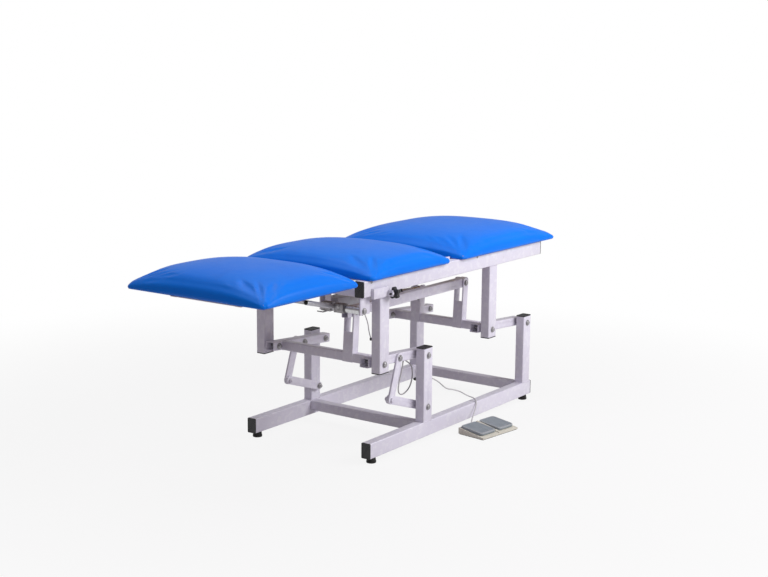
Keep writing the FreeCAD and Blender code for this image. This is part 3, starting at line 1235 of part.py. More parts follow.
def on_switch(along, across):
    """A point of the foot switch, from its middle along its long side and toward its back."""
    x = v.switch_x + along * SWITCH_COS - across * SWITCH_SIN
    y = SWITCH_Y + along * SWITCH_SIN + across * SWITCH_COS
    return x, y


def foot_switch():
    """The housing with its ridge, the sole, the two pedals and the cord's gland."""
    half = v.switch_length / 2
    toe = -v.switch_depth / 2
    x, y = on_switch(-half, toe)
    wedge = doc.addObject("Part::Wedge", "switch_wedge")
    for edge, size in (("Xmin", 0), ("Xmax", v.switch_length), ("X2min", 0), ("X2max", v.switch_length),
                       ("Ymin", 0), ("Ymax", v.switch_depth), ("Zmin", 0), ("Z2min", 0),
                       ("Zmax", v.switch_toe_height - v.switch_sole), ("Z2max",
                                                                       v.switch_height - v.switch_sole)):
        bind(wedge, edge, size)
    place(wedge, x, y, v.switch_sole, SWITCH_TURN)
    x, y = on_switch(-v.ridge_width / 2, toe + v.ridge_inset)
    ridge = doc.addObject("Part::Wedge", "switch_ridge")
    lift = v.pedal_gap + v.pedal_thickness
    for edge, size in (("Xmin", 0), ("Xmax", v.ridge_width), ("X2min", 0), ("X2max", v.ridge_width),
                       ("Ymin", 0), ("Ymax", v.switch_depth - 2 * v.ridge_inset), ("Zmin", 0), ("Z2min", 0),
                       ("Zmax", v.switch_toe_height - v.switch_sole + v.ridge_inset),
                       ("Z2max", v.switch_height - v.switch_sole + lift - v.ridge_inset / 2)):
        bind(ridge, edge, size)
    place(ridge, x, y, v.switch_sole, SWITCH_TURN)
    slope = (v.switch_height.value - v.switch_toe_height.value) / v.switch_depth.value
    slope_angle = math.degrees(math.atan(slope))
    hinge_across = v.switch_depth / 2 - v.pedal_hinge_inset
    hinge_z = v.switch_height - v.pedal_hinge_inset * slope
    troughs = []
    pedals = []
    for word, side in (("lower", -1), ("raise", 1)):
        middle = side * v.pedal_offset
        start = middle - v.pedal_width / 2
        reach = v.pedal_rod_inset
        x, y = on_switch(start + reach, hinge_across)
        along_row = SWITCH_TURN * ALONG_X
        rod = cylinder(f"pedal_rod_{word}", v.pedal_rod_radius, v.pedal_width - 2 * reach, x, y, hinge_z,
                       along_row)
        x, y = on_switch(start + reach - v.trough_gap, hinge_across)
        troughs.append(cylinder(f"pedal_trough_{word}", v.pedal_rod_radius + v.section_clearance,
                                v.pedal_width - 2 * (reach - v.trough_gap), x, y, hinge_z, along_row))
        tilt = Rotation(Vector(1, 0, 0), slope_angle - v.pedal_travel.value)
        fall = math.radians(slope_angle - v.pedal_travel.value)
        behind = v.pedal_hinge_inset - v.pedal_back_inset
        depth_toe = v.pedal_depth - behind
        x, y = on_switch(start, hinge_across - depth_toe * math.cos(fall))
        z = hinge_z + v.pedal_gap - depth_toe * math.sin(fall)
        slab = box(f"pedal_slab_{word}", v.pedal_width, v.pedal_depth, v.pedal_thickness, x, y, z,
                   SWITCH_TURN * tilt)
        pedals.append(fuse(f"pedal_{word}", [slab, rod]))
    housing = cut("foot_switch_housing", fuse("switch_case", [wedge, ridge]), troughs)
    x, y = on_switch(v.sole_inset - half, toe + v.sole_inset)
    sole = box("foot_switch_sole", v.switch_length - 2 * v.sole_inset, v.switch_depth - 2 * v.sole_inset,
               v.switch_sole, x, y, 0, SWITCH_TURN)
    x, y = on_switch(dim(0), -toe)
    gland = cylinder("switch_gland", v.gland_radius, v.gland_length, x, y, v.switch_height / 2,
                     SWITCH_TURN * ALONG_Y)
    x, y = on_switch(dim(0), v.pedal_back_inset - toe)
    bore = cylinder("switch_gland_bore", v.cord_radius + v.section_clearance, v.gland_length * 2, x, y,
                    v.switch_height / 2, SWITCH_TURN * ALONG_Y)
    return [housing, sole] + pedals, cut("switch_gland_ring", gland, [bore])


def cord(name, points, radius):
    """A round cord of straight runs and tangent arcs: no parametric object follows a path in space."""
    shift = Vector(ORIGIN_X.value, ORIGIN_Y.value, 0)
    stops = [Vector(*point) - shift for point in points]
    edges = []
    radii = []
    start = stops[0]
    for before, corner, after in zip(stops, stops[1:], stops[2:]):
        back = before - corner
        ahead = after - corner
        half_turn = (math.pi - back.getAngle(ahead)) / 2
        reach = CORNER_SHARE * min(back.Length, ahead.Length)
        bend = reach / math.tan(half_turn)
        back.normalize()
        ahead.normalize()
        first = corner + back * reach
        last = corner + ahead * reach
        inward = (back + ahead).normalize()
        middle = corner + inward * (bend / math.cos(half_turn) - bend)
        edges += [Part.LineSegment(start, first).toShape(), Part.Arc(first, middle, last).toShape()]
        radii.append(round(bend, 1))
        start = last
    edges.append(Part.LineSegment(start, stops[-1]).toShape())
    path = Part.Wire(edges)
    ring_wire = Part.Wire([Part.Circle(stops[0], stops[1] - stops[0], radius.value).toShape()])
    feature = doc.addObject("Part::Feature", name)
    feature.Shape = path.makePipeShell([ring_wire], True, False)
    share = feature.Shape.Volume / (math.pi * radius.value ** 2 * path.Length)
    print(name, "length", round(path.Length), "volume share", round(share, 3), "radii", radii)
    return feature


def from_near_side(route):
    return [(x, inside - HALF_BASE.value, z) for x, inside, z in route]


def cords():
    """The foot switch's cord with its clip, the loop under the near arm and the shaft's thin lead."""
    clip_x = v.foot_post_start + v.post_depth
    y = v.clip_size - INNER_FACE
    z = v.arm_pivot_height - v.clip_drop
    end_x, end_y = on_switch(dim(0), v.switch_depth / 2 + v.gland_length / 2)
    out_x, out_y = on_switch(dim(0), v.switch_depth / 2 + 2 * v.gland_length)
    low = v.switch_height.value / 2
    route = [(clip_x.value + 1, y.value, z.value)] + from_near_side(SWITCH_ROUTE)
    route += [(out_x.value, out_y.value, low), (end_x.value, end_y.value, low)]
    line = cord("foot_switch_cord", route, v.cord_radius)
    block = box("cord_clip_block", v.clip_size, v.clip_size * 1.6, v.clip_size, clip_x,
                y - v.clip_size * 0.8,
                z - v.clip_size / 2)
    bore = cylinder("cord_clip_bore", v.cord_radius + v.section_clearance, v.clip_size * 3, clip_x + 0.5, y,
                    z,
                    ALONG_X)
    return line, cut("cord_clip", block, [bore])


def held_leads():
    """The loop under the near foot-end arm and the thin lead from the shaft, each with its clip."""
    y = v.loop_inset - ARM_MID
    loop = cord("lead_loop_line", [(x, y.value, z) for x, z in LOOP_ROUTE], v.cord_radius)
    first, last = LOOP_ROUTE[0], LOOP_ROUTE[-1]
    wide = first[0] - last[0] + 4 * v.cord_radius
    block = box("loop_clip_block", wide, v.clip_size, v.clip_size / 2, last[0] - 2 * v.cord_radius,
                y - v.clip_size / 2, first[1] - v.clip_size / 2)
    bores = [cylinder(f"loop_clip_bore_{word}", v.cord_radius + v.section_clearance, v.clip_size * 3, x, y,
                      z - v.clip_size * 1.5) for word, (x, z) in (("head", first), ("foot", last))]
    route = from_near_side(LEAD_ROUTE)
    lead = cord("shaft_lead_line", route, v.lead_radius)
    x, y, z = route[-1]
    holder_block = box("lead_clip_block", v.clip_size, v.clip_size * 0.8, v.clip_size, x - v.clip_size / 2,
                       -INNER_FACE, z - v.clip_size * 0.8)
    before = Vector(*route[-2])
    lead_bore = cord_bore("lead_clip_bore", before, Vector(x, y, z), v.lead_radius + v.section_clearance)
    return [group("lead_loop", [loop, cut("loop_clip", block, bores)]),
            group("shaft_lead", [lead, cut("lead_clip", holder_block, [lead_bore])])]


def cord_bore(name, start, end, radius):
    """A cylinder along a cord's last run, carried on past its end."""
    run = end - start
    turn = Rotation(Vector(0, 0, 1), run)
    return cylinder(name, radius, run.Length * 2, start.x, start.y, start.z, turn)


def collect():
    """Every sub-part with its node's name, in the order in which they are built."""
    made = base_rails() + base_crossbars() + base_posts() + base_caps() + rubber_feet() + base_pivots()
    made += foot_arms() + head_arms() + tie_bar() + links() + top_frame() + seat()
    made += back_section() + leg_section() + springs() + spring_shaft() + release_head() + hinge_lugs()
    made += actuator() + holder() + knob()
    made.append(group("top_frame_brackets", BRACKETS))
    made.append(group("top_frame_bolts", hanging_pivots() + TOP_BOLTS))
    switch, gland = foot_switch()
    line, clip = cords()
    made += held_leads()
    made += switch + [line, group("cord_fittings", [gland, clip])]
    return made


def check_and_export(parts):
    """Recomputes, stops on anything that failed, and writes one STEP file for each sub-part."""
    doc.recompute()
    for thing in doc.Objects:
        if "Invalid" in thing.State or "Error" in thing.State:
            raise RuntimeError(f"{thing.Name} failed: {thing.State}")
    os.makedirs("parts", exist_ok=True)
    for thing in parts:
        if thing.Shape.isNull() or not thing.Shape.isValid():
            raise RuntimeError(f"{thing.Label} has no valid shape")
        thing.Shape.exportStep(f"parts/{thing.Label}.step")
    print(len(parts), "sub-parts written")


parts = collect()
check_and_export(parts)
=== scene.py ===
"""Electric examination couch: upholstery, fasteners, welds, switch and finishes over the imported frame."""
import math
import bmesh
import bpy
from mathutils import Matrix, Vector, geometry, noise


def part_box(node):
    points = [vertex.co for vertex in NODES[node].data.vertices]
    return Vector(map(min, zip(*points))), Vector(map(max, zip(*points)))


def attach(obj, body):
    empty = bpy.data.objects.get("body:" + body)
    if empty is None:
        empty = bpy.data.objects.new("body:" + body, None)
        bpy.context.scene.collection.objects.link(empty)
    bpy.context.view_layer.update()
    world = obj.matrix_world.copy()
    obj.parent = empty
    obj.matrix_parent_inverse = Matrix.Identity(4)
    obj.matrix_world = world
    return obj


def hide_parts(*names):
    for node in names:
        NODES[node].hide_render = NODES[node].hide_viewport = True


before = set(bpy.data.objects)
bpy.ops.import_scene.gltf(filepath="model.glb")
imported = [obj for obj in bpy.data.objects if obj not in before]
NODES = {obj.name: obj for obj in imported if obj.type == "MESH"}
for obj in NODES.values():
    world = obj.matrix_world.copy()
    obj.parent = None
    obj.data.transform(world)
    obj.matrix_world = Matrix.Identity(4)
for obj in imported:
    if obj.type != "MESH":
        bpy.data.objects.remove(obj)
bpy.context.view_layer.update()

# The drawing frame: x from the near rail's foot end, y from the couch's middle, z from the floor
RAIL_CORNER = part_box("base_rail_near")[0]
HALF_BASE = 0.300
COUCH_MIDDLE = RAIL_CORNER.y + HALF_BASE
THIN_HEAD = 0.0075


def couch(x, y, z):
    """A point given in millimetres of the drawing frame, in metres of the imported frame."""
    return Vector((RAIL_CORNER.x + x / 1000, RAIL_CORNER.y + HALF_BASE + y / 1000, z / 1000))


# Camera
def camera():
    azimuth = math.radians(54.61)
    pitch = math.radians(10.51)
    roll = math.radians(-0.47)
    flat = math.cos(pitch)
    ahead = Vector((math.sin(azimuth) * flat, math.cos(azimuth) * flat, -math.sin(pitch)))
    level = Vector((math.cos(azimuth), -math.sin(azimuth), 0))
    below = ahead.cross(level)
    right = level * math.cos(roll) + below * math.sin(roll)
    down = below * math.cos(roll) - level * math.sin(roll)
    data = bpy.data.cameras.new("photo_camera")
    data.sensor_width = 36
    data.sensor_fit = "HORIZONTAL"
    data.lens = 1350 / 768 * 36
    data.clip_start = 0.1
    data.clip_end = 60
    eye = bpy.data.objects.new("photo_camera", data)
    bpy.context.collection.objects.link(eye)
    turn = Matrix((right, -down, -ahead)).transposed()
    eye.matrix_world = Matrix.Translation(couch(-3903.97, -3128.47, 1564.60)) @ turn.to_4x4()
    bpy.context.scene.camera = eye


# Node materials
class Wire:
    """A socket of a finish whose arithmetic adds Math nodes."""

    def __init__(self, finish, socket):
        self.finish = finish
        self.socket = socket

    def math(self, operation, *values):
        node = self.finish.add("ShaderNodeMath", {"operation": operation}, dict(enumerate((self,) + values)))
        return Wire(self.finish, node.outputs[0])

    def __add__(self, other):
        return self.math("ADD", other)

    def __sub__(self, other):
        return self.math("SUBTRACT", other)

    def __mul__(self, other):
        return self.math("MULTIPLY", other)

    def sine(self):
        return self.math("SINE")

    def between(self, low, high):
        """0 below low, 1 above high, smooth between."""
        node = self.finish.add("ShaderNodeMapRange", {"interpolation_type": "SMOOTHSTEP", "clamp": True},
                               {"Value": self, "From Min": low, "From Max": high})
        return Wire(self.finish, node.outputs[0])


class Finish:
    """A material whose colour, gloss and relief are built from nodes."""

    def __init__(self, name, colour, roughness=0.5, metallic=0.0, coat=0.0, specular=0.5):
        self.material = bpy.data.materials.new(name)
        self.material.use_nodes = True
        self.tree = self.material.node_tree
        self.shader = self.tree.nodes["Principled BSDF"]
        self.colour = colour
        self.shader.inputs["Base Color"].default_value = (*colour, 1)
        self.shader.inputs["Roughness"].default_value = roughness
        self.shader.inputs["Metallic"].default_value = metallic
        self.shader.inputs["Coat Weight"].default_value = coat
        self.shader.inputs["Coat Roughness"].default_value = 0.15
        self.shader.inputs["Specular IOR Level"].default_value = specular
        self.material.diffuse_color = (*colour, 1)
        place = self.add("ShaderNodeTexCoord")
        self.place = Wire(self, place.outputs["Object"])
        split = self.add("ShaderNodeSeparateXYZ", {}, {0: self.place})
        self.x, self.y, self.z = [Wire(self, socket) for socket in split.outputs]

    def add(self, kind, settings=None, values=None):
        node = self.tree.nodes.new(kind)
        for setting, value in (settings or {}).items():
            setattr(node, setting, value)
        for socket, value in (values or {}).items():
            if isinstance(value, Wire):
                self.tree.links.new(value.socket, node.inputs[socket])
            else:
                node.inputs[socket].default_value = value
        return node

    def noise(self, scale, detail=2.0, roughness=0.5, stretch=None):
        """Noise from 0 to 1, with features about one over its scale in metres."""
        where = self.place
        if stretch:
            stretched = {"Vector": where, "Scale": stretch}
            node = self.add("ShaderNodeMapping", {"vector_type": "POINT"}, stretched)
            where = Wire(self, node.outputs[0])
        node = self.add("ShaderNodeTexNoise", {}, {"Vector": where, "Scale": scale, "Detail": detail,
                                                   "Roughness": roughness})
        return Wire(self, node.outputs[0])

    def edge(self):
        """1 along a piece's rounded edges, 0 on its faces."""
        node = self.add("ShaderNodeAttribute", {"attribute_name": "edge"})
        return Wire(self, node.outputs["Fac"])

    def cells(self, scale, feature="F1"):
        node = self.add("ShaderNodeTexVoronoi", {"feature": feature}, {"Vector": self.place, "Scale": scale})
        return Wire(self, node.outputs["Distance"])

    def tint(self, mask, other, base=None):
        """Mixes the base colour toward another by a mask and feeds it to the shader."""
        node = self.add("ShaderNodeMix", {"data_type": "RGBA"}, {"Factor": mask})
        first = base if base is not None else self.colour
        if isinstance(first, Wire):
            self.tree.links.new(first.socket, node.inputs[6])
        else:
            node.inputs[6].default_value = (*first, 1)
        node.inputs[7].default_value = (*other, 1)
        mixed = Wire(self, node.outputs[2])
        self.tree.links.new(mixed.socket, self.shader.inputs["Base Color"])
        return mixed

    def gloss(self, wire):
        self.tree.links.new(wire.socket, self.shader.inputs["Roughness"])

    def relief(self, height, depth, strength=1.0):
        """Bump from a height of 0 to 1 that stands for a depth in metres."""
        node = self.add("ShaderNodeBump", {}, {"Height": height, "Distance": depth, "Strength": strength})
        self.tree.links.new(node.outputs[0], self.shader.inputs["Normal"])


def linear(red, green, blue):
    """A colour written as 0 to 255 sRGB, as the linear numbers that shaders take."""
    out = []
    for part in (red, green, blue):
        share = part / 255
        out.append(share / 12.92 if share < 0.04045 else ((share + 0.055) / 1.055) ** 2.4)
    return tuple(out)


def powder_coat():
    paint = Finish("frame_powder_coat", linear(226, 222, 236), coat=0.15)
    cloud = paint.noise(9, 3)
    marks = paint.noise(60, 4, 0.6).between(0.62, 0.74)
    shaded = paint.tint(cloud.between(0.35, 0.7) * 0.35, linear(214, 209, 226))
    marked = paint.tint(marks * 0.12, linear(176, 168, 176), shaded)
    # Lighter along the rounded edges: partly paint rubbed thin, partly a painted highlight so the edges catch
    # the light.
    rubbed_and_highlit = paint.edge() * paint.noise(50, 3).between(0.5, 0.62)
    paint.tint(rubbed_and_highlit * 0.45, linear(238, 236, 244), marked)
    paint.gloss(paint.noise(35) * 0.12 + 0.3)
    peel = paint.noise(420, 2) * 0.75 + paint.noise(1500, 1) * 0.25
    paint.relief(peel, 0.00022, 0.5)
    return paint.material


def blue_vinyl():
    vinyl = Finish("blue_vinyl", linear(0, 120, 240), specular=0.14)
    cloud = vinyl.noise(5, 3)
    lighter = vinyl.tint(cloud.between(0.4, 0.75) * 0.3, linear(0, 130, 248))
    vinyl.tint(vinyl.noise(14, 4).between(0.55, 0.75) * 0.18, linear(0, 98, 214), lighter)
    vinyl.gloss(vinyl.noise(30, 3) * 0.1 + 0.29)
    grain = vinyl.cells(620, "SMOOTH_F1") * 0.5 + vinyl.noise(900, 3, 0.6) * 0.3 + vinyl.noise(2600, 1) * 0.2
    vinyl.relief(grain, 0.0004, 0.42)
    return vinyl.material


def vinyl_back_shaded():
    # Painted shade: the vinyl turned under the board is a darker, duller copy of the blue vinyl.
    vinyl = Finish("vinyl_turned_edge", linear(0, 92, 196))
    vinyl.tint(vinyl.noise(40, 3).between(0.45, 0.7) * 0.4, linear(0, 76, 168))
    vinyl.gloss(vinyl.noise(60) * 0.15 + 0.42)
    vinyl.relief(vinyl.cells(620) * 0.6 + vinyl.noise(160, 3) * 0.4, 0.0006, 0.5)
    return vinyl.material


def chrome_rod():
    steel = Finish("chromed_rod", linear(222, 222, 226), metallic=1.0)
    steel.tint(steel.noise(60, 2).between(0.4, 0.7) * 0.25, linear(196, 196, 202))
    steel.gloss(steel.noise(300, 2) * 0.06 + 0.14)
    steel.relief(steel.noise(3000, 1, stretch=(1, 6, 6)), 0.00006, 0.3)
    return steel.material


def aluminium():
    metal = Finish("turned_aluminium", linear(206, 206, 208), metallic=1.0)
    lines = (metal.y * 5200).sine() * 0.5 + 0.5
    metal.tint(metal.noise(110, 3).between(0.4, 0.7) * 0.4, linear(172, 172, 176))
    metal.gloss(metal.noise(500, 2) * 0.16 + 0.24)
    metal.relief(lines * 0.6 + metal.noise(1400, 2) * 0.4, 0.00016, 0.5)
    return metal.material


def plywood():
    wood = Finish("birch_plywood", linear(202, 172, 128))
    grain = wood.noise(28, 5, 0.65, stretch=(0.35, 5, 0.5))
    warm = wood.tint(grain.between(0.38, 0.66) * 0.7, linear(168, 132, 88))
    plies = (wood.z * 4190).sine().between(-0.2, 0.5)
    wood.tint(plies * wood.noise(90).between(0.3, 0.6) * 0.3, linear(142, 108, 70), warm)
    wood.gloss(wood.noise(70) * 0.2 + 0.55)
    wood.relief(grain * 0.7 + wood.noise(700, 2) * 0.3, 0.0004, 0.5)
    return wood.material


def pedal_grey():
    plastic = Finish("pedal_grey", linear(138, 146, 154))
    tinted = plastic.tint(plastic.noise(35, 3).between(0.45, 0.72) * 0.45, linear(116, 124, 133))
    plastic.tint(plastic.edge() * 0.8, linear(172, 174, 178), tinted)
    plastic.gloss(plastic.noise(110) * 0.16 + 0.34)
    plastic.relief(plastic.noise(1300, 2) * 0.5 + plastic.cells(900) * 0.5, 0.0003, 0.5)
    return plastic.material


def speckled(name, colour, patches, other, gloss, relief, metallic=0.0, coat=0.0):
    """A finish with soft patches of another colour, uneven gloss and fine relief."""
    look = Finish(name, linear(*colour), metallic=metallic, coat=coat)
    scale, detail, low, high, share = patches
    look.tint(look.noise(scale, detail).between(low, high) * share, linear(*other))
    scale, detail, swing, least = gloss
    look.gloss(look.noise(scale, detail) * swing + least)
    scale, detail, depth, strength = relief
    look.relief(look.noise(scale, detail), depth, strength)
    return look.material


# Mesh helpers
def finished(mesh, name, body, finish, *nodes, sharp=35):
    """An object at the origin that rides on a body and stands for CAD nodes."""
    mesh.materials.clear()
    mesh.materials.append(MATERIALS[finish])
    mesh.shade_smooth()
    mesh.set_sharp_from_angle(angle=math.radians(sharp))
    thing = bpy.data.objects.new(name, mesh)
    bpy.context.collection.objects.link(thing)
    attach(thing, body)
    if nodes:
        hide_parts(*nodes)
    return thing


def made(form, name):
    """The mesh of a bmesh whose faces are turned outwards."""
    bmesh.ops.remove_doubles(form, verts=form.verts, dist=0.00001)
    bmesh.ops.recalc_face_normals(form, faces=form.faces)
    mesh = bpy.data.meshes.new(name)
    form.to_mesh(mesh)
    form.free()
    return mesh


def piece(form, name, body, finish, *nodes):
    """A finished object made from a bmesh."""
    return finished(made(form, name), name, body, finish, *nodes)


def skin(form, rings):
    """Adds the faces between each ring of points and the next."""
    count = len(rings[0])
    for first, second in zip(rings, rings[1:]):
        for step in range(count):
            after = (step + 1) % count
            form.faces.new((first[step], first[after], second[after], second[step]))


def closed_skin(form, rings):
    """Adds the faces between rings, with one over the first ring and one over the last."""
    skin(form, rings)
    form.faces.new(rings[0][::-1])
    form.faces.new(rings[-1])


def rounded_point(angle, half_long, half_wide, corner):
    """The point where a direction from the middle meets a rectangle with rounded corners."""
    c, s = math.cos(angle), math.sin(angle)
    scale = 1 / max(abs(c) / half_long, abs(s) / half_wide)
    x, y = c * scale, s * scale
    inner_long, inner_wide = half_long - corner, half_wide - corner
    over_x, over_y = abs(x) - inner_long, abs(y) - inner_wide
    if over_x > 0 and over_y > 0:
        length = math.hypot(over_x, over_y)
        x = math.copysign(inner_long + over_x / length * corner, x)
        y = math.copysign(inner_wide + over_y / length * corner, y)
    return x, y, over_x, over_y


def turned(form, profile, start, axis, segments=24, shape=None):
    """Adds a turned solid: rings of (distance, radius) along an axis, closed at both ends."""
    axis = Vector(axis).normalized()
    side = axis.orthogonal().normalized()
    other = axis.cross(side)
    rings = []
    for along, radius in profile:
        middle = Vector(start) + axis * along
        ring = []
        for step in range(segments):
            angle = 2 * math.pi * step / segments
            reach = radius * (shape(angle) if shape else 1)
            ring.append(form.verts.new(middle + (side * math.cos(angle) + other * math.sin(angle)) * reach))
        rings.append(ring)
    closed_skin(form, rings)


def rounded_profile(length, radius, edge, steps=3):
    """A cylinder's profile with rounded rims."""
    out = []
    for step in range(steps + 1):
        angle = math.pi / 2 * step / steps
        out.append((edge - edge * math.cos(angle), radius - edge + edge * math.sin(angle)))
    return out + [(length - along, reach) for along, reach in reversed(out)]


def block(form, low, high, edge, segments):
    """Adds a box with rounded edges between two corners."""
    low, high = Vector(low), Vector(high)
    matrix = Matrix.Translation((low + high) / 2) @ Matrix.Diagonal((*(high - low), 1))
    corners = bmesh.ops.create_cube(form, size=1, matrix=matrix)["verts"]
    edges = {side for corner in corners for side in corner.link_edges}
    bmesh.ops.bevel(form, geom=list(edges), offset=edge, segments=segments, profile=0.5, affect="EDGES")


def merged(node):
    """A copy of a CAD node whose loose triangles are joined into whole faces."""
    form = bmesh.new()
    form.from_mesh(NODES[node].data)
    form.verts.layers.float.new("edge")
    bmesh.ops.remove_doubles(form, verts=form.verts, dist=0.00002)
    bmesh.ops.dissolve_limit(form, angle_limit=math.radians(1.0), verts=form.verts, edges=form.edges)
    return form


def softened(node, body, finish, width, segments=2, angle=28, panel=0.0):
    """A node with small rounded edges; faces broader than a panel's area get a shallow recess."""
    form = merged(node)
    if panel:
        for thickness, depth in ((0.0035, 0.0), (0.0009, -0.0011)):
            broad = [face for face in form.faces if face.calc_area() > panel]
            bmesh.ops.inset_individual(form, faces=broad, thickness=thickness, depth=depth)
    sharp = [edge for edge in form.edges
             if len(edge.link_faces) == 2 and edge.calc_face_angle(0) > math.radians(angle)]
    rounded = bmesh.ops.bevel(form, geom=sharp, offset=width, segments=segments, profile=0.5, affect="EDGES",
                              clamp_overlap=True)
    # The bevel's points are flagged; powder coat paints them lighter, partly as rubbed paint and partly as a
    # painted highlight.
    tinted = form.verts.layers.float["edge"]
    for vert in rounded["verts"]:
        vert[tinted] = 1.0
    mesh = bpy.data.meshes.new(f"soft_{node}")
    form.to_mesh(mesh)
    form.free()
    return finished(mesh, f"soft_{node}", body, finish, node)


def islands(node):
    """The points of each separate solid of a CAD node."""
    form = bmesh.new()
    form.from_mesh(NODES[node].data)
    bmesh.ops.remove_doubles(form, verts=form.verts, dist=0.00002)
    left = set(form.verts)
    out = []
    while left:
        stack = [left.pop()]
        found = []
        while stack:
            vert = stack.pop()
            found.append(vert.co.copy())
            for edge in vert.link_edges:
                other = edge.other_vert(vert)
                if other in left:
                    left.discard(other)
                    stack.append(other)
        out.append(found)
    form.free()
    return out


def span(points):
    low = Vector([min(point[axis] for point in points) for axis in range(3)])
    high = Vector([max(point[axis] for point in points) for axis in range(3)])
    return low, high


# Geometry Nodes
def plug(tree, node, socket, value):
    if isinstance(value, bpy.types.NodeSocket):
        tree.links.new(value, node.inputs[socket])
    else:
        node.inputs[socket].default_value = value


def tree_node(tree, kind, settings=None, values=None):
    """A node of a tree, its settings set and its inputs linked or filled in."""
    node = tree.nodes.new(kind)
    for setting, value in (settings or {}).items():
        setattr(node, setting, value)
    for socket, value in (values or {}).items():
        plug(tree, node, socket, value)
    return node


def new_tree(name, inputs):
    """A Geometry Nodes tree with named inputs, its group input and its group output."""
    tree = bpy.data.node_groups.new(name, "GeometryNodeTree")
    tree.interface.new_socket("Geometry", in_out="INPUT", socket_type="NodeSocketGeometry")
    for label, kind in inputs:
        tree.interface.new_socket(label, in_out="INPUT", socket_type=kind)
    tree.interface.new_socket("Geometry", in_out="OUTPUT", socket_type="NodeSocketGeometry")
    return tree, tree.nodes.new("NodeGroupInput"), tree.nodes.new("NodeGroupOutput")


def bead_tree():
    """Weld beads: a rippled round bead along every edge path of a mesh."""
    tree, start, end = new_tree("weld_beads", [("Width", "NodeSocketFloat"), ("Ripple", "NodeSocketFloat"),
                                               ("Pitch", "NodeSocketFloat"), ("Step", "NodeSocketFloat"),
                                               ("Finish", "NodeSocketMaterial")])
    path = tree_node(tree, "GeometryNodeMeshToCurve", {}, {"Mesh": start.outputs["Geometry"]})
    fine = tree_node(tree, "GeometryNodeResampleCurve", {"mode": "LENGTH"},
                         {"Curve": path.outputs[0], "Length": start.outputs["Step"]})
    along = tree.nodes.new("GeometryNodeSplineParameter")
    share = tree_node(tree, "ShaderNodeMath", {"operation": "DIVIDE"},
                          {0: along.outputs["Length"], 1: start.outputs["Pitch"]})
    wave = tree_node(tree, "ShaderNodeMath", {"operation": "SINE"}, {0: share.outputs[0]})
    swell = tree_node(tree, "ShaderNodeMath", {"operation": "MULTIPLY_ADD"},
                          {0: wave.outputs[0], 1: start.outputs["Ripple"], 2: 1.0})
    radius = tree_node(tree, "ShaderNodeMath", {"operation": "MULTIPLY"},
                           {0: swell.outputs[0], 1: start.outputs["Width"]})
    ring = tree_node(tree, "GeometryNodeCurvePrimitiveCircle", {"mode": "RADIUS"},
                         {"Resolution": 8, "Radius": 1.0})
    tube = tree_node(tree, "GeometryNodeCurveToMesh", {}, {"Curve": fine.outputs[0],
                                                              "Profile Curve": ring.outputs[0],
                                                              "Scale": radius.outputs[0], "Fill Caps": True})
    solid = tree_node(tree, "GeometryNodeRealizeInstances", {}, {"Geometry": tube.outputs[0]})
    paint = tree_node(tree, "GeometryNodeSetMaterial", {}, {"Geometry": solid.outputs[0],
                                                               "Material": start.outputs["Finish"]})
    tree.links.new(paint.outputs[0], end.inputs[0])
    return tree


def stamp_tree():
    """Copies of one template at every point, its z along the point's axis, with a little random spin."""
    tree, start, end = new_tree("set_out", [("Template", "NodeSocketObject"), ("Spin", "NodeSocketFloat"),
                                            ("Seed", "NodeSocketInt"), ("Finish", "NodeSocketMaterial")])
    shape = tree_node(tree, "GeometryNodeObjectInfo", {"transform_space": "ORIGINAL"},
                          {"Object": start.outputs["Template"]})
    axis = tree_node(tree, "GeometryNodeInputNamedAttribute", {"data_type": "FLOAT_VECTOR"}, {"Name": "axis"})
    face = tree_node(tree, "GeometryNodeInputNamedAttribute", {"data_type": "FLOAT_VECTOR"}, {"Name": "face"})
    aim = tree_node(tree, "FunctionNodeAlignRotationToVector", {"axis": "Z"}, {"Vector": axis.outputs[0]})
    turn = tree_node(tree, "FunctionNodeAlignRotationToVector", {"axis": "X", "pivot_axis": "Z"},
                         {"Rotation": aim.outputs[0], "Vector": face.outputs[0]})
    size = tree_node(tree, "GeometryNodeInputNamedAttribute", {"data_type": "FLOAT"}, {"Name": "size"})
    spin = tree_node(tree, "FunctionNodeRandomValue", {"data_type": "FLOAT"},
                         {2: 0.0, 3: start.outputs["Spin"], "Seed": start.outputs["Seed"]})
    about = tree_node(tree, "ShaderNodeCombineXYZ", {}, {"Z": spin.outputs[1]})
    own = tree_node(tree, "FunctionNodeEulerToRotation", {}, {0: about.outputs[0]})
    whole = tree_node(tree, "FunctionNodeRotateRotation", {"rotation_space": "LOCAL"},
                          {"Rotation": turn.outputs[0], "Rotate By": own.outputs[0]})
    points = tree_node(tree, "GeometryNodeMeshToPoints", {}, {"Mesh": start.outputs["Geometry"]})
    copies = tree_node(tree, "GeometryNodeInstanceOnPoints", {}, {"Points": points.outputs[0],
                                                                     "Instance": shape.outputs["Geometry"],
                                                                     "Rotation": whole.outputs[0],
                                                                     "Scale": size.outputs[0]})
    solid = tree_node(tree, "GeometryNodeRealizeInstances", {}, {"Geometry": copies.outputs[0]})
    paint = tree_node(tree, "GeometryNodeSetMaterial", {}, {"Geometry": solid.outputs[0],
                                                               "Material": start.outputs["Finish"]})
    tree.links.new(paint.outputs[0], end.inputs[0])
    return tree


def grown(mesh, tree, values, name, body, finish, *nodes):
    """Runs a tree on a mesh and keeps its result as a plain piece."""
    values = dict(values, Finish=MATERIALS[finish])
    source = bpy.data.objects.new(f"{name}_source", mesh)
    bpy.context.collection.objects.link(source)
    modifier = source.modifiers.new("tree", "NODES")
    modifier.node_group = tree
    keys = {item.name: item.identifier for item in tree.interface.items_tree if item.in_out == "INPUT"}
    for label, value in values.items():
        modifier[keys[label]] = value
    bpy.context.view_layer.update()
    graph = bpy.context.evaluated_depsgraph_get()
    result = bpy.data.meshes.new_from_object(source.evaluated_get(graph))
    bpy.data.objects.remove(source)
    result.name = name
    return finished(result, name, body, finish, *nodes)


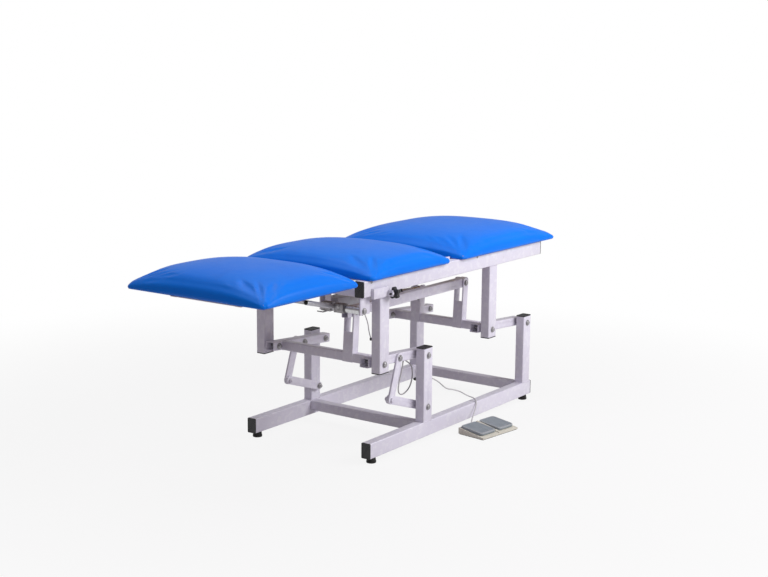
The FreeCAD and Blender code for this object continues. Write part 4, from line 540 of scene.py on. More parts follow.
def path_mesh(name, paths):
    """Edge paths as one mesh; a path whose last point is its first is closed."""
    form = bmesh.new()
    for points in paths:
        closed = (Vector(points[0]) - Vector(points[-1])).length < 0.0001
        verts = [form.verts.new(point) for point in (points[:-1] if closed else points)]
        for first, second in zip(verts, verts[1:]):
            form.edges.new((first, second))
        if closed:
            form.edges.new((verts[-1], verts[0]))
    mesh = bpy.data.meshes.new(name)
    form.to_mesh(mesh)
    form.free()
    return mesh


def point_mesh(name, rows):
    """Points with the axis and the face direction of what is set out on them."""
    mesh = bpy.data.meshes.new(name)
    mesh.from_pydata([row[0] for row in rows], [], [])
    for label, column in (("axis", 1), ("face", 2)):
        attribute = mesh.attributes.new(label, "FLOAT_VECTOR", "POINT")
        for number, row in enumerate(rows):
            attribute.data[number].vector = row[column]
    sizes = mesh.attributes.new("size", "FLOAT", "POINT")
    for number, row in enumerate(rows):
        sizes.data[number].value = row[3] if len(row) > 3 else 1.0
    return mesh


def template(form, name):
    """An object whose copies are set out; it is in no collection itself."""
    return bpy.data.objects.new(name, made(form, name))


# Fasteners
def hexagon(form, radius, low, high, chamfer=0.16):
    """Adds a chamfered hexagon along z between two heights."""
    rings = []
    flat = math.cos(math.pi / 6)
    for kind in ("base_in", "base", "shoulder", "top"):
        ring = []
        for step in range(12):
            angle = math.pi / 6 * step
            reach = radius if step % 2 == 0 else radius * flat
            height = high - radius * (chamfer if step % 2 == 0 else 0.02)
            if kind == "base_in":
                reach, height = radius * flat * 0.97, low
            if kind == "base":
                height = low + (radius * chamfer * 0.5 if step % 2 == 0 else 0.0)
            if kind == "top":
                reach, height = radius * flat * 0.93, high
            ring.append(form.verts.new((reach * math.cos(angle), reach * math.sin(angle), height)))
        rings.append(ring)
    closed_skin(form, rings)


def head_template(radius, height):
    form = bmesh.new()
    washer = radius * 0.16
    turned(form, rounded_profile(washer, radius * 1.3, washer * 0.4, 2), (0, 0, 0), (0, 0, 1), 32)
    hexagon(form, radius, washer, height)
    return template(form, "hex_head_template")


def nut_template(radius, height, shaft, tail):
    form = bmesh.new()
    washer = radius * 0.16
    turned(form, rounded_profile(washer, radius * 1.3, washer * 0.4, 2), (0, 0, 0), (0, 0, 1), 32)
    hexagon(form, radius, washer, height * 0.78)
    turned(form, [(height * 0.7, radius * 0.82), (height * 0.94, radius * 0.82), (height, radius * 0.7),
                  (height, shaft * 1.02)], (0, 0, 0), (0, 0, 1), 24)
    thread = [(height * 0.5, shaft * 0.92)]
    steps = max(3, int(tail / 0.0006))
    for step in range(steps):
        along = height * 0.96 + tail * step / steps
        thread.append((along, shaft * (0.97 if step % 2 else 0.87)))
    thread.append((height + tail, shaft * 0.78))
    turned(form, thread, (0, 0, 0), (0, 0, 1), 20)
    return template(form, "lock_nut_template")


def bolts(node, body, radius, shaft, head_height=0.007, nut_height=0.009, tail=0.004):
    """Hexagon bolts, washers, lock nuts and spacer rings in place of a node's plain ones."""
    heads, nuts = [], []
    form = bmesh.new()
    for points in islands(node):
        low, high = span(points)
        middle = (low + high) / 2
        size = high - low
        face = (math.cos(middle.x * 9), 0, math.sin(middle.x * 9))
        if size.x < THIN_HEAD:
            grow = (size.y / 2) / radius
            heads.append(((high.x, middle.y, middle.z), (-1, 0, 0), (0, face[0], face[2]), grow))
        elif size.y < THIN_HEAD:
            grow = (size.x / 2) / radius
            way = -1 if middle.y < COUCH_MIDDLE else 1
            heads.append(((middle.x, high.y if way < 0 else low.y, middle.z), (0, way, 0), face, grow))
        elif size.y < 0.013:
            spacer = rounded_profile(size.y, size.x / 2, 0.0008, 2)
            turned(form, spacer, (middle.x, low.y, middle.z), (0, 1, 0), 32)
        else:
            at_low = max((point.xz - middle.xz).length for point in points if point.y < low.y + 0.001)
            at_high = max((point.xz - middle.xz).length for point in points if point.y > high.y - 0.001)
            way = -1 if at_low > at_high else 1
            outer = (low.y if way < 0 else high.y) - way * head_height
            inner = (high.y if way < 0 else low.y) + way * (tail + nut_height)
            heads.append(((middle.x, outer, middle.z), (0, way, 0), face))
            nuts.append(((middle.x, inner, middle.z), (0, -way, 0), face))
            turned(form, [(0, shaft), (abs(outer - inner), shaft)], (middle.x, min(outer, inner), middle.z),
                   (0, 1, 0), 24)
    tree = TREES["stamp"]
    head = head_template(radius, head_height)
    grown(point_mesh(f"{node}_head_points", heads), tree, {"Template": head, "Spin": 0.6, "Seed": 3},
          f"{node}_heads", body, "steel", node)
    if nuts:
        nut = nut_template(radius, nut_height, shaft, tail)
        grown(point_mesh(f"{node}_nut_points", nuts), tree, {"Template": nut, "Spin": 0.6, "Seed": 5},
              f"{node}_nuts", body, "steel")
    piece(form, f"{node}_shafts", body, "steel")


MATERIALS = {
    "paint": powder_coat(), "vinyl": blue_vinyl(), "vinyl_back_shaded": vinyl_back_shaded(), "chrome": chrome_rod(),
    "aluminium": aluminium(), "plywood": plywood(), "pedal": pedal_grey(),
    "weld": speckled("weld_bead_paint", (216, 211, 224), (160, 3, 0.4, 0.7, 0.4), (186, 178, 190),
                     (120, 2, 0.2, 0.34), (900, 3, 0.0003, 0.7), coat=0.1),
    "black": speckled("black_plastic", (27, 27, 30), (40, 3, 0.5, 0.75, 0.4), (44, 43, 46),
                      (90, 2, 0.16, 0.38), (1600, 2, 0.0002, 0.5)),
    "rubber": speckled("black_rubber", (24, 23, 23), (30, 4, 0.5, 0.8, 0.5), (52, 48, 46),
                       (120, 2, 0.14, 0.66), (900, 3, 0.0004, 0.6)),
    "steel": speckled("zinc_steel", (168, 166, 168), (240, 3, 0.4, 0.7, 0.5), (128, 124, 126),
                      (420, 2, 0.18, 0.32), (2200, 2, 0.00012, 0.5), metallic=1.0),
    "spring": speckled("spring_silver_paint", (196, 196, 202), (70, 3, 0.45, 0.7, 0.35), (170, 170, 178),
                       (200, 2, 0.1, 0.26), (1400, 2, 0.0001, 0.4), metallic=0.5, coat=0.2),
    "dark": speckled("cast_release_metal", (150, 147, 150), (120, 3, 0.42, 0.68, 0.6), (104, 101, 104),
                     (300, 2, 0.2, 0.34), (1100, 3, 0.0003, 0.6), metallic=0.9),
    "actuator": speckled("actuator_grey", (176, 176, 182), (50, 3, 0.45, 0.7, 0.35), (150, 149, 156),
                         (120, 2, 0.14, 0.4), (1500, 2, 0.0002, 0.5)),
    "beige": speckled("beige_plastic", (212, 208, 196), (45, 3, 0.45, 0.72, 0.4), (190, 184, 170),
                      (140, 2, 0.14, 0.42), (1700, 2, 0.00025, 0.5)),
    "cord": speckled("cord_grey", (200, 198, 200), (80, 3, 0.45, 0.7, 0.4), (176, 174, 178),
                     (200, 2, 0.14, 0.42), (1800, 2, 0.00015, 0.5)),
}
TREES = {"bead": bead_tree(), "stamp": stamp_tree()}


# Upholstery
RIM_MIDDLE = 0.046
RIM_CORNER = 0.018
PLAN_CORNER = 0.026
PLAN_STEPS = 280
DRAWN_IN = 0.003
EDGE_WRAP = -0.04
TURNED_UNDER = 0.026
STAPLE_PITCH = 0.034
CLOTH_CAP = 0.004
CLOTH_VOXEL = 0.007


def dome(share):
    """1 at a cushion's middle line and 0 at its edge."""
    return 1 - min(1, abs(share)) ** 2.8


def pad_height(x, y, half_long, half_wide, crown):
    """Height of a cushion's top at a point of its plan, or of its rim at its edge."""
    along, across = dome(x / half_long), dome(y / half_wide)
    either = along + across - along * across
    return RIM_CORNER + (RIM_MIDDLE - RIM_CORNER) * either + (crown - RIM_MIDDLE) * along * across


def pad_outline(half_long, half_wide):
    """The rounded plan of a cushion, drawn in a little between its corners."""
    out = []
    inner_long, inner_wide = half_long - PLAN_CORNER, half_wide - PLAN_CORNER
    for step in range(PLAN_STEPS):
        angle = 2 * math.pi * step / PLAN_STEPS
        x, y, over_x, over_y = rounded_point(angle, half_long, half_wide, PLAN_CORNER)
        if over_x > 0 >= over_y:
            x -= math.copysign(DRAWN_IN * dome(y / inner_wide), x)
        elif over_y > 0 >= over_x:
            y -= math.copysign(DRAWN_IN * dome(x / inner_long), y)
        out.append((x, y))
    return out


def pad_form(half_long, half_wide, crown, shrink):
    """A closed crowned pad, thin at its corners, whose bottom is flat at z = 0."""
    form = bmesh.new()
    outline = pad_outline(half_long, half_wide)
    heights = [pad_height(x, y, half_long, half_wide, crown) for x, y in outline]
    rings = [[(x, y, inset, height) for x, y in outline] for inset, height in
             ((0.010, 0.0), (0.004, 0.0), (0.0008, 0.003))]
    for share in (0.3, 0.45):
        rings.append([(x, y, 0.0, height * share) for (x, y), height in zip(outline, heights)])
    for step in range(1, 8):
        angle = math.pi / 2 * step / 7
        ring = []
        for (x, y), height in zip(outline, heights):
            bend = height * 0.5
            ring.append((x, y, bend * (1 - math.cos(angle)) * 1.15, height - bend + bend * math.sin(angle)))
        rings.append(ring)
    layers = []
    least = min(half_long, half_wide)
    for ring in rings:
        layer = []
        for x, y, inset, height in ring:
            pull = (inset + shrink) / least
            layer.append(form.verts.new((x * (1 - pull), y * (1 - pull), height)))
        layers.append(layer)
    for share in (0.955, 0.92, 0.88, 0.83, 0.76, 0.67, 0.56, 0.44, 0.32, 0.21, 0.1):
        layer = []
        for (x, y), height in zip(outline, heights):
            start = 1 - (height * 0.575 + shrink) / least
            px, py = x * min(share, start * 0.985), y * min(share, start * 0.985)
            edge = max(abs(px) / half_long, abs(py) / half_wide)
            swell = pad_height(px, py, half_long, half_wide, crown)
            layer.append(form.verts.new((px, py, max(swell, height) if edge > 0.9 else swell)))
        layers.append(layer)
    skin(form, layers)
    form.faces.new(layers[0][::-1])
    top = form.verts.new((0, 0, crown))
    for step in range(PLAN_STEPS):
        form.faces.new((layers[-1][step], layers[-1][(step + 1) % PLAN_STEPS], top))
    return form


def evaluated(thing):
    """A new mesh of a thing with its modifiers applied."""
    graph = bpy.context.evaluated_depsgraph_get()
    return bpy.data.meshes.new_from_object(thing.evaluated_get(graph))


def blown_up(mesh, name, cap, voxel):
    """Remeshes a pad evenly and lets cloth under pressure swell it, within a cap."""
    thing = bpy.data.objects.new(name, mesh)
    bpy.context.collection.objects.link(thing)
    remesh = thing.modifiers.new("remesh", "REMESH")
    remesh.mode = "VOXEL"
    remesh.voxel_size = voxel
    relax = thing.modifiers.new("relax", "SMOOTH")
    relax.factor = 0.5
    relax.iterations = 8
    even = evaluated(thing)
    thing.modifiers.clear()
    thing.data = even
    rest = [vert.co.copy() for vert in even.vertices]
    scene = bpy.context.scene
    pins = thing.vertex_groups.new(name="pinned")
    pins.add([vert.index for vert in even.vertices if vert.co.z < 0.006], 1.0, "REPLACE")
    cloth = thing.modifiers.new("cloth", "CLOTH")
    cloth.settings.quality = 5
    cloth.settings.mass = 0.3
    cloth.settings.tension_stiffness = 20
    cloth.settings.compression_stiffness = 20
    cloth.settings.shear_stiffness = 8
    cloth.settings.bending_stiffness = 2
    cloth.settings.use_pressure = True
    cloth.settings.uniform_pressure_force = 4
    cloth.settings.effector_weights.gravity = 0
    cloth.settings.vertex_group_mass = "pinned"
    cloth.point_cache.frame_start = 1
    cloth.point_cache.frame_end = 20
    for number in range(1, 21):
        scene.frame_set(number)
    blown = evaluated(thing)
    moved = [vert.co.copy() for vert in blown.vertices]
    thing.modifiers.clear()
    scene.frame_set(1)
    for vert, start, end in zip(thing.data.vertices, rest, moved):
        step = end - start
        if step.length > cap:
            step = step.normalized() * cap
        share = min(1, max(0, (start.z - 0.002) / 0.012))
        vert.co = start + step * share
    thing.vertex_groups.clear()
    return thing


def cushion(node, body, crown):
    """A vinyl cushion in place of a plain one, blown up a little over its board."""
    low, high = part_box(node)
    half_long = (high.x - low.x) / 2
    half_wide = (high.y - low.y) / 2
    middle = Vector(((low.x + high.x) / 2, (low.y + high.y) / 2, low.z))
    mesh = made(pad_form(half_long, half_wide, crown, 0.001), f"{node}_form")
    pad = blown_up(mesh, f"{node}_vinyl", CLOTH_CAP, CLOTH_VOXEL)
    for vert in pad.data.vertices:
        x, y, z = vert.co
        inset = min(half_long - abs(x), half_wide - abs(y))
        if z < 0.004:
            vert.co.z = 0.004 if inset > 0.016 else 0.0
        near_corner = max(0, 1 - math.hypot(half_long - abs(x), half_wide - abs(y)) / 0.10)
        if near_corner > 0 and z > 0.001:
            angle = math.atan2(half_wide - abs(y) + 0.04, half_long - abs(x) + 0.04)
            fold = math.sin(angle * 46) * near_corner * max(0, 1 - z / 0.022) * 0.0007
            vert.co += Vector((x / half_long, y / half_wide, 0)).normalized() * fold
        slow = noise.noise(Vector((x * 7, y * 7, z * 9 + len(node)))) * 0.0009
        if z > 0.01:
            vert.co.z += slow
    shift = Matrix.Translation(middle)
    pad.data.transform(shift)
    pad.data.materials.clear()
    pad.data.materials.append(MATERIALS["vinyl"])
    pad.data.shade_smooth()
    smooth = pad.modifiers.new("subdivide", "SUBSURF")
    smooth.levels = 1
    smooth.render_levels = 1
    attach(pad, body)
    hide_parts(node)


def underside(board, body):
    """The vinyl turned under a board's edge, with its row of staples."""
    low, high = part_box(board)
    half_long, half_wide = (high.x - low.x) / 2, (high.y - low.y) / 2
    middle = (low + high) / 2
    steps = 220
    angles = [2 * math.pi * step / steps for step in range(steps)]
    outline = [rounded_point(angle, half_long, half_wide, 0)[:2] for angle in angles]
    form = bmesh.new()
    under = low.z - 0.0012
    layers = []
    for inset, height in ((EDGE_WRAP, low.z + 0.012), (EDGE_WRAP, under), (1.0, under), (1.0, low.z + 0.0002),
                          (0.01, low.z + 0.0002), (0.01, low.z + 0.012)):
        layer = []
        for x, y in outline:
            wave = noise.noise(Vector((x * 16, y * 16, len(board)))) * 0.004
            width = (TURNED_UNDER + wave) * inset
            layer.append(form.verts.new((middle.x + x * (1 - width / half_long),
                                         middle.y + y * (1 - width / half_wide), height)))
        layers.append(layer)
    skin(form, layers + layers[:1])
    piece(form, f"{board}_turned_edge", body, "vinyl_back_shaded")
    rows = []
    for axis, count in ((0, int(2 * half_long / STAPLE_PITCH)), (1, int(2 * half_wide / STAPLE_PITCH))):
        for side in (-1, 1):
            for number in range(1, count):
                along = (-1 + 2 * number / count) * (half_long, half_wide)[axis]
                across = side * ((half_wide, half_long)[axis] - 0.013)
                x, y = (along, across) if axis == 0 else (across, along)
                tilt = noise.noise(Vector((x * 50, y * 50, 3))) * 0.5 + (0 if axis == 0 else math.pi / 2)
                place = (middle.x + x, middle.y + y, under)
                rows.append((place, (0, 0, -1), (math.cos(tilt), math.sin(tilt), 0)))
    staple = bmesh.new()
    block(staple, (-0.005, -0.0007, -0.0002), (0.005, 0.0007, 0.0007), 0.0003, 1)
    values = {"Template": template(staple, "staple"), "Spin": 0.2, "Seed": 11}
    points = point_mesh(f"{board}_staple_points", rows)
    grown(points, TREES["stamp"], values, f"{board}_staples", body, "steel")


# Light and floor
FLOOR_HALF = 14
MIRRORED_WHITE = 0.3


def studio():
    """The white surroundings, the floor that keeps a faint shadow, and the lamps."""
    middle = couch(330, 0, 450)
    form = bmesh.new()
    bmesh.ops.create_grid(form, x_segments=1, y_segments=1, size=FLOOR_HALF)
    mesh = bpy.data.meshes.new("studio_floor")
    form.to_mesh(mesh)
    form.free()
    mesh.transform(Matrix.Translation((middle.x, middle.y, 0)))
    floor = bpy.data.objects.new("studio_floor", mesh)
    bpy.context.collection.objects.link(floor)
    pale = Finish("pale_floor", (0.52, 0.49, 0.51), roughness=0.9)
    path = pale.add("ShaderNodeLightPath")
    mirrored = Wire(pale, path.outputs["Is Glossy Ray"])
    seen = Wire(pale, path.outputs["Is Camera Ray"]).math("MAXIMUM", mirrored)
    away = (pale.x - middle.x) * (pale.x - middle.x) + (pale.y - middle.y) * (pale.y - middle.y)
    fade = away.between(0.6, 9.0) * 0.12 + 0.88
    glow = pale.add("ShaderNodeEmission", {}, {"Color": (1, 1, 1, 1), "Strength": 1.0})
    mixed = pale.add("ShaderNodeMixShader", {}, {0: seen * fade, 1: Wire(pale, pale.shader.outputs[0]),
                                                 2: Wire(pale, glow.outputs[0])})
    output = pale.tree.nodes["Material Output"]
    pale.tree.links.new(mixed.outputs[0], output.inputs[0])
    mesh.materials.append(pale.material)
    for name, place, width, power in (
            ("key_light", (1500, -3300, 2500), 2.2, 124),
            ("front_light", (-3400, -2500, 1700), 1.6, 10),
            ("top_light", (300, 300, 3600), 3.0, 46)):
        data = bpy.data.lights.new(name, "AREA")
        data.shape = "SQUARE"
        data.size = width
        data.energy = power
        lamp = bpy.data.objects.new(name, data)
        bpy.context.collection.objects.link(lamp)
        lamp.location = couch(*place)
        lamp.rotation_euler = (middle - lamp.location).to_track_quat("-Z", "Y").to_euler()
    world = bpy.data.worlds.new("studio_world")
    bpy.context.scene.world = world
    world.use_nodes = True
    tree = world.node_tree
    soft = tree.nodes["Background"]
    soft.inputs["Color"].default_value = (1.0, 0.93, 0.98, 1)
    soft.inputs["Strength"].default_value = 0.2
    white = tree_node(tree, "ShaderNodeBackground", {}, {"Strength": 1.0, "Color": (1, 1, 1, 1)})
    rays = tree.nodes.new("ShaderNodeLightPath")
    mirrored = tree_node(tree, "ShaderNodeMath", {"operation": "MULTIPLY"},
                             {0: rays.outputs["Is Glossy Ray"], 1: MIRRORED_WHITE})
    shown = tree_node(tree, "ShaderNodeMath", {"operation": "MAXIMUM"},
                          {0: rays.outputs["Is Camera Ray"], 1: rays.outputs["Is Transmission Ray"]})
    most = tree_node(tree, "ShaderNodeMath", {"operation": "MAXIMUM"},
                         {0: shown.outputs[0], 1: mirrored.outputs[0]})
    both = tree_node(tree, "ShaderNodeMixShader", {},
                         {0: most.outputs[0], 1: soft.outputs[0], 2: white.outputs[0]})
    tree.links.new(both.outputs[0], tree.nodes["World Output"].inputs[0])
    bpy.context.scene.view_settings.view_transform = "Standard"


# Cords
SWITCH_ROUTE = [(413, -250, 245), (440, -250, 244), (484, -253, 229), (529, -256, 204), (582, -255, 165),
                (636, -256, 151), (688, -255, 132), (724, -256, 113), (747, -264, 100), (756, -281, 94),
                (747, -298, 87), (732, -309, 75), (713, -315, 57), (692, -319, 38), (668, -326, 21)]
SWITCH_MIDDLE = (640, -424)
SWITCH_TURN = math.radians(-8)


def on_switch(along, across, height):
    """A point of the foot switch, from its middle along its long side and toward its back."""
    x = SWITCH_MIDDLE[0] + along * math.cos(SWITCH_TURN) - across * math.sin(SWITCH_TURN)
    y = SWITCH_MIDDLE[1] + along * math.sin(SWITCH_TURN) + across * math.cos(SWITCH_TURN)
    return x, y, height


def cord_curve(name, route, radius, body, *nodes):
    """A round cord along a smooth spline whose control points are the route's."""
    curve = bpy.data.curves.new(name, "CURVE")
    curve.dimensions = "3D"
    curve.bevel_depth = radius
    curve.bevel_resolution = 4
    curve.use_fill_caps = True
    spline = curve.splines.new("NURBS")
    spline.points.add(len(route) - 1)
    for point, place in zip(spline.points, route):
        point.co = (*couch(*place), 1)
    spline.order_u = 3
    spline.use_endpoint_u = True
    spline.resolution_u = 10
    curve.materials.append(MATERIALS["cord"])
    thing = bpy.data.objects.new(name, curve)
    bpy.context.collection.objects.link(thing)
    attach(thing, body)
    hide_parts(*nodes)
    return thing


LOOP_ROUTE = [(331, 333), (340, 322), (360, 312), (379, 296), (387, 268), (383, 240), (368, 213),
              (342, 197), (314, 192), (292, 201), (288, 224), (296, 250), (307, 276), (316, 303), (322, 333)]
LOOP_Y = -222
LEAD_ROUTE = [(-13, -280, 573), (-2, -278, 558), (14, -273, 538), (30, -265, 517), (46, -256, 494),
              (60, -254, 468)]


def cords():
    """The foot switch's cord, the lead's loop under the near arm and the shaft's thin lead."""
    whole = SWITCH_ROUTE + [on_switch(0, 88, 14), on_switch(0, 70, 14)]
    loop = [(x, LOOP_Y, z) for x, z in LOOP_ROUTE]
    for name, route, radius, length, body, node in (
            ("switch_cord", whole, 0.0026, 0.552, "base", "foot_switch_cord"),
            ("arm_lead_loop", loop, 0.0026, 0.365, "foot_arms", "lead_loop"),
            ("shaft_thin_lead", LEAD_ROUTE, 0.002, 0.131, "top_frame", "shaft_lead")):
        thing = cord_curve(name, route, radius, body, node)
        couch(*route[0])
        2 * radius
    for name, node, body in (("loop_clip", "lead_loop", "foot_arms"),
                             ("lead_clip", "shaft_lead", "top_frame")):
        low, high = span(min(islands(node), key=len))
        form = bmesh.new()
        block(form, low, high, 0.0012, 3)
        turned(form, rounded_profile(0.0018, 0.0026, 0.0006, 2),
               ((low.x + high.x) / 2, low.y + 0.0006, (low.z + high.z) / 2), (0, -1, 0), 16)
        piece(form, name, body, "black")


# Fittings
def far_end(node, way):
    """Centre and radius of the end that lies farthest along a direction."""
    points = [vert.co.copy() for vert in NODES[node].data.vertices]
    reach = max(point.dot(way) for point in points)
    low, high = span([point for point in points if point.dot(way) > reach - 0.0006])
    return (low + high) / 2, (high.y - low.y) / 2


def ring_piece(name, body, finish, centre, way, profile, segments=40):
    form = bmesh.new()
    turned(form, profile, centre, way, segments)
    return piece(form, name, body, finish)


def gas_spring(side, body, sign, eye):
    """A gas spring's seal, crimped neck and a second band."""
    cylinder, rod = f"{side}_spring_cylinder", f"{side}_spring_rod"
    low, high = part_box(cylinder)
    rod_low, rod_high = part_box(rod)
    middle = (low.y + high.y) / 2
    hinge = Vector((high.x - eye if sign < 0 else low.x + eye, middle, low.z + eye))
    tip = Vector((rod_low.x + eye if sign < 0 else rod_high.x - eye, middle, rod_high.z - eye))
    way = (tip - hinge).normalized()
    end, radius = far_end(cylinder, way)
    crimp = [(0.0, radius - 0.0002), (0.0006, radius + 0.0005), (0.0026, radius + 0.0005),
             (0.0032, radius - 0.0002)]
    ring_piece(f"{side}_spring_crimp", body, "spring", end - way * 0.012, way, crimp)
    ring_piece(f"{side}_spring_band", body, "spring", end - way * 0.030, way, crimp)
    seal = [(0.0, radius * 0.97), (0.0016, radius * 0.97), (0.003, radius * 0.88), (0.0034, radius * 0.62)]
    ring_piece(f"{side}_spring_seal", body, "rubber", end, way, seal)


def knurled(angle):
    return 1 + 0.012 * math.cos(48 * angle)


def shaft_parts():
    """The turned sleeve, the black ring and the release shaft itself."""
    low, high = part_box("shaft_sleeve")
    centre = (low + high) / 2
    radius = (high.x - low.x) / 2
    long = high.y - low.y
    form = bmesh.new()
    profile = [(0.0, radius - 0.0016), (0.0008, radius - 0.0006), (0.0022, radius)]
    for start in (0.014, long / 2 - 0.001, long - 0.016):
        profile += [(start, radius), (start + 0.0006, radius - 0.0009), (start + 0.0016, radius - 0.0009),
                    (start + 0.0022, radius)]
    profile += [(long - 0.0022, radius), (long - 0.0008, radius - 0.0006), (long, radius - 0.0016)]
    turned(form, profile, (centre.x, low.y, centre.z), (0, 1, 0), 64)
    piece(form, "turned_sleeve", "top_frame", "aluminium", "shaft_sleeve")
    low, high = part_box("shaft_ring")
    form = bmesh.new()
    turned(form, rounded_profile(high.y - low.y, (high.x - low.x) / 2 / 1.012, 0.0014, 3),
           (centre.x, low.y, centre.z), (0, 1, 0), 192, knurled)
    piece(form, "knurled_ring", "top_frame", "black", "shaft_ring")
    low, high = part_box("shaft_rod")
    radius = (high.x - low.x) / 2
    long = high.y - low.y
    form = bmesh.new()
    profile = [(0.0, radius - 0.0015), (0.0015, radius), (0.004, radius), (0.0042, radius - 0.001),
               (0.0056, radius - 0.001), (0.0058, radius)]
    profile += [(long - along, reach) for along, reach in reversed(profile)]
    turned(form, profile, (centre.x, low.y, centre.z), (0, 1, 0), 48)
    piece(form, "release_shaft", "top_frame", "steel", "shaft_rod")


def feet():
    """Ribbed rubber feet, wider toward the floor."""
    form = bmesh.new()
    for points in islands("rubber_feet"):
        low, high = span(points)
        centre = (low + high) / 2
        radius = (high.x - low.x) / 2
        tall = high.z - low.z
        profile = [(0.0, radius - 0.0022), (0.0006, radius - 0.0008), (0.0022, radius), (0.0065, radius)]
        for start in (0.0072, 0.0108, 0.0144):
            reach = radius - start * 0.14
            profile += [(start, reach - 0.0009), (start + 0.0008, reach - 0.0009), (start + 0.0014, reach),
                        (start + 0.0028, reach)]
        profile += [(tall - 0.001, radius - 0.0036), (tall, radius - 0.0046)]
        turned(form, profile, (centre.x, centre.y, low.z), (0, 0, 1), 48)
    piece(form, "ribbed_feet", "base", "rubber", "rubber_feet")


PEDAL_CORNER = 0.015
PEDAL_STEPS = 96


def pedal(node):
    """A dished pedal with rounded corners and a raised lighter rim, in place of its plain plate."""
    form = merged(node)
    top = max((face for face in form.faces if face.normal.z > 0.5), key=lambda face: face.calc_area())
    corners = [vert.co.copy() for vert in top.verts]
    up = top.normal.copy()
    thick = max((corners[0] - vert.co).dot(up) for vert in form.verts)
    longest = max(top.edges, key=lambda edge: edge.calc_length())
    ahead = (longest.verts[1].co - longest.verts[0].co).normalized()
    form.free()
    aside = up.cross(ahead)
    centre = sum(corners, Vector()) / len(corners)
    reach = [max(abs((corner - centre).dot(way)) for corner in corners) for way in (ahead, aside)]
    form = bmesh.new()
    rim = form.verts.layers.float.new("edge")
    layers = []
    for inset, drop, pale in (
            (0.0025, thick, 0), (0.0004, thick - 0.0016, 0), (0.0, thick * 0.5, 0), (0.0, 0.0034, 0),
            (0.0004, 0.0018, 1), (0.0014, 0.0004, 1), (0.0030, 0.0, 1), (0.0052, 0.0001, 1),
            (0.0064, 0.0010, 0), (0.0090, 0.0013, 0), (0.0200, 0.0017, 0), (0.0330, 0.0020, 0)):
        corner = max(0.004, PEDAL_CORNER - inset)
        layer = []
        for step in range(PEDAL_STEPS):
            angle = 2 * math.pi * (step + 0.5) / PEDAL_STEPS
            along, across = rounded_point(angle, reach[0] - inset, reach[1] - inset, corner)[:2]
            vert = form.verts.new(centre + ahead * along + aside * across - up * drop)
            vert[rim] = pale
            layer.append(vert)
        layers.append(layer)
    closed_skin(form, layers)
    piece(form, f"{node}_plate", node, "pedal", node)


def actuator_trim():
    """The wiper ring and two bands on the actuator's tube, and the covers' screws."""
    pin = (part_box("actuator_pin")[0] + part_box("actuator_pin")[1]) / 2
    low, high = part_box("actuator_housing")
    rear = Vector((low.x + 0.014, pin.y, high.z - 0.022))
    way = (Vector((pin.x, 0, pin.z)) - Vector((rear.x, 0, rear.z))).normalized()
    end, radius = far_end("actuator_housing", way)
    collar = [(0.0, radius + 0.0004), (0.001, radius + 0.0014), (0.013, radius + 0.0014), (0.0145, radius),
              (0.0165, radius - 0.003)]
    ring_piece("actuator_wiper", "actuator_housing", "black", end - way * 0.0135, way, collar, 48)
    band = [(0.0, radius - 0.0002), (0.0006, radius + 0.0006), (0.0044, radius + 0.0006),
            (0.005, radius - 0.0002)]
    for back in (0.045, 0.16):
        name = f"tube_band_{int(back * 1000)}"
        ring_piece(name, "actuator_housing", "actuator", end - way * back, way, band, 48)
    low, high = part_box("actuator_motor")
    rows = []
    for share in (0.12, 0.88):
        for height in (0.2, 0.8):
            place = (low.x + (high.x - low.x) * share, high.y - 0.0004, low.z + (high.z - low.z) * height)
            rows.append((place, (0, 1, 0), (1, 0, 0.3)))
    screw = bmesh.new()
    turned(screw, rounded_profile(0.0022, 0.0042, 0.0008, 2), (0, 0, 0), (0, 0, 1), 24)
    hexagon(screw, 0.0021, 0.0021, 0.0026)
    grown(point_mesh("motor_screw_points", rows), TREES["stamp"],
          {"Template": template(screw, "cover_screw"), "Spin": 1.2, "Seed": 8}, "motor_screws",
          "actuator_housing", "steel")


LEG_TUBE = 0.030
BACK_TUBE = 0.025
BEAD = {"Width": 0.0015, "Ripple": 0.16, "Pitch": 0.0008, "Step": 0.0012}


def weld_paths(node, axis, *levels):
    """Closed outlines of a node's solids where they end on a plane."""
    out = []
    for points in islands(node):
        low, high = span(points)
        for level in levels:
            if min(abs(low[axis] - level), abs(high[axis] - level)) > 0.0004:
                continue
            near = [point for point in points if abs(point[axis] - level) < 0.0004]
            flat = [Vector([point[other] for other in range(3) if other != axis]) for point in near]
            ring = [near[number] for number in geometry.convex_hull_2d(flat)]
            out.append(ring + ring[:1])
    return out


def welds():
    """Beads where tubes meet, one piece for each body."""
    rail_near, rail_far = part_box("base_rail_near"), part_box("base_rail_far")
    faces = (rail_near[1].y, rail_far[0].y)
    arm_faces = (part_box("foot_arm_near")[1].y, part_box("foot_arm_far")[0].y)
    under_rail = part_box("top_rail_near")[0].z
    over_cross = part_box("top_crossmembers")[1].z
    leg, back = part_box("leg_frame"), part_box("back_frame")
    sets = {
        "base": weld_paths("base_crossbars", 1, *faces) + weld_paths("base_posts", 2, rail_near[1].z),
        "foot_arms": weld_paths("foot_arm_crossbar", 1, *arm_faces),
        "head_arms": weld_paths("head_arm_crossbar", 1, *arm_faces),
        "top_frame": weld_paths("top_crossmembers", 1, *faces) + weld_paths("hanging_posts", 2, under_rail)
        + weld_paths("top_frame_brackets", 2, under_rail, over_cross),
        "leg_section": weld_paths("leg_frame", 1, leg[0].y + LEG_TUBE, leg[1].y - LEG_TUBE),
        "back_section": weld_paths("back_frame", 1, back[0].y + BACK_TUBE, back[1].y - BACK_TUBE),
    }
    for body, paths in sets.items():
        grown(path_mesh(f"{body}_weld_lines", paths), TREES["bead"], BEAD, f"{body}_welds", body, "weld")


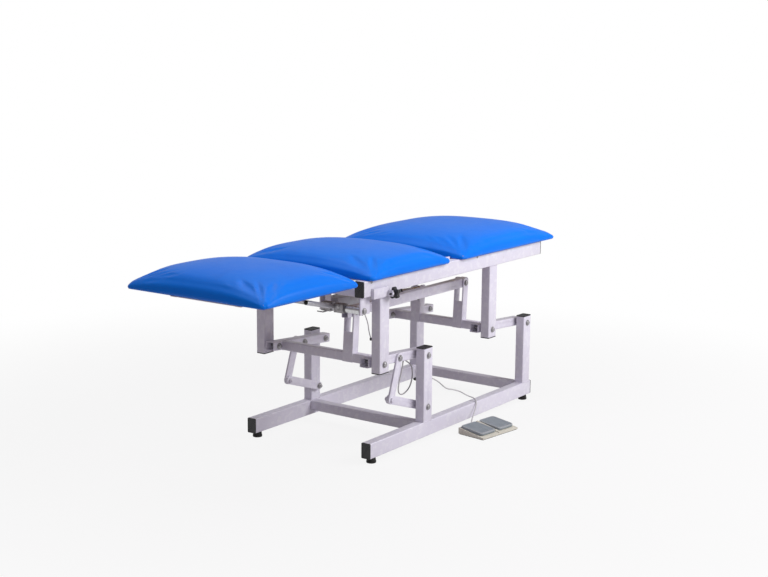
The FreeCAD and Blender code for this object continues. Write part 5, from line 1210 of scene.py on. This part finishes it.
# Assembly
camera()
studio()
cords()
for side_name, carrier, crown_height in (("leg", "leg_section", 0.087), ("seat", "top_frame", 0.078),
                                         ("back", "back_section", 0.087)):
    cushion(f"{side_name}_cushion", carrier, crown_height)
    underside(f"{side_name}_board", carrier)

ROUNDED = {
    "paint": {
        "base": ["base_rail_near", "base_rail_far", "base_crossbars", "base_posts"],
        "foot_arms": ["foot_arm_near", "foot_arm_far", "foot_arm_crossbar", "foot_tie_lever"],
        "head_arms": ["head_arm_near", "head_arm_far", "head_arm_crossbar", "head_tie_lever",
                      "actuator_lever"],
        "tie_bar": ["tie_bar"],
        "drop_link_near": ["drop_link_near"], "drop_link_far": ["drop_link_far"],
        "lower_link_near": ["lower_link_near"], "lower_link_far": ["lower_link_far"],
        "top_frame": ["top_rail_near", "top_rail_far", "top_crossmembers", "hanging_posts",
                      "top_frame_brackets", "accessory_holder"],
        "leg_section": ["leg_frame"], "back_section": ["back_frame"],
    },
    "black": {"star_knob": ["star_knob"], "actuator_housing": ["actuator_motor"], "base": ["cord_fittings"]},
    "spring": {"leg_spring_cylinder": ["leg_spring_cylinder"],
               "back_spring_cylinder": ["back_spring_cylinder"]},
    "chrome": {"leg_spring_rod": ["leg_spring_rod"], "back_spring_rod": ["back_spring_rod"],
               "actuator_rod": ["actuator_rod"]},
    "actuator": {"actuator_housing": ["actuator_housing"]},
    "dark": {"top_frame": ["release_head"]},
    "plywood": {"top_frame": ["seat_board"], "leg_section": ["leg_board"], "back_section": ["back_board"]},
    "rubber": {"base": ["foot_switch_sole"]},
}
for finish_name, carriers in ROUNDED.items():
    for carrier, names in carriers.items():
        for part in names:
            softened(part, carrier, finish_name, 0.0006)
softened("base_caps", "base", "black", 0.0012, 3, panel=0.0015)
softened("top_caps", "top_frame", "black", 0.0012, 3, panel=0.0015)
softened("foot_switch_housing", "base", "beige", 0.0025, 4)
pedal("pedal_lower")
pedal("pedal_raise")
bolts("base_pivot_bolts", "base", 0.010, 0.006)
bolts("drop_link_bolts", "foot_arms", 0.010, 0.005)
bolts("tie_bar_bolts", "tie_bar", 0.010, 0.006)
bolts("actuator_pin", "head_arms", 0.010, 0.006)
bolts("top_frame_bolts", "top_frame", 0.010, 0.006)
gas_spring("leg", "leg_spring_cylinder", -1, 0.012)
gas_spring("back", "back_spring_cylinder", 1, 0.008)
actuator_trim()
shaft_parts()
feet()
welds()
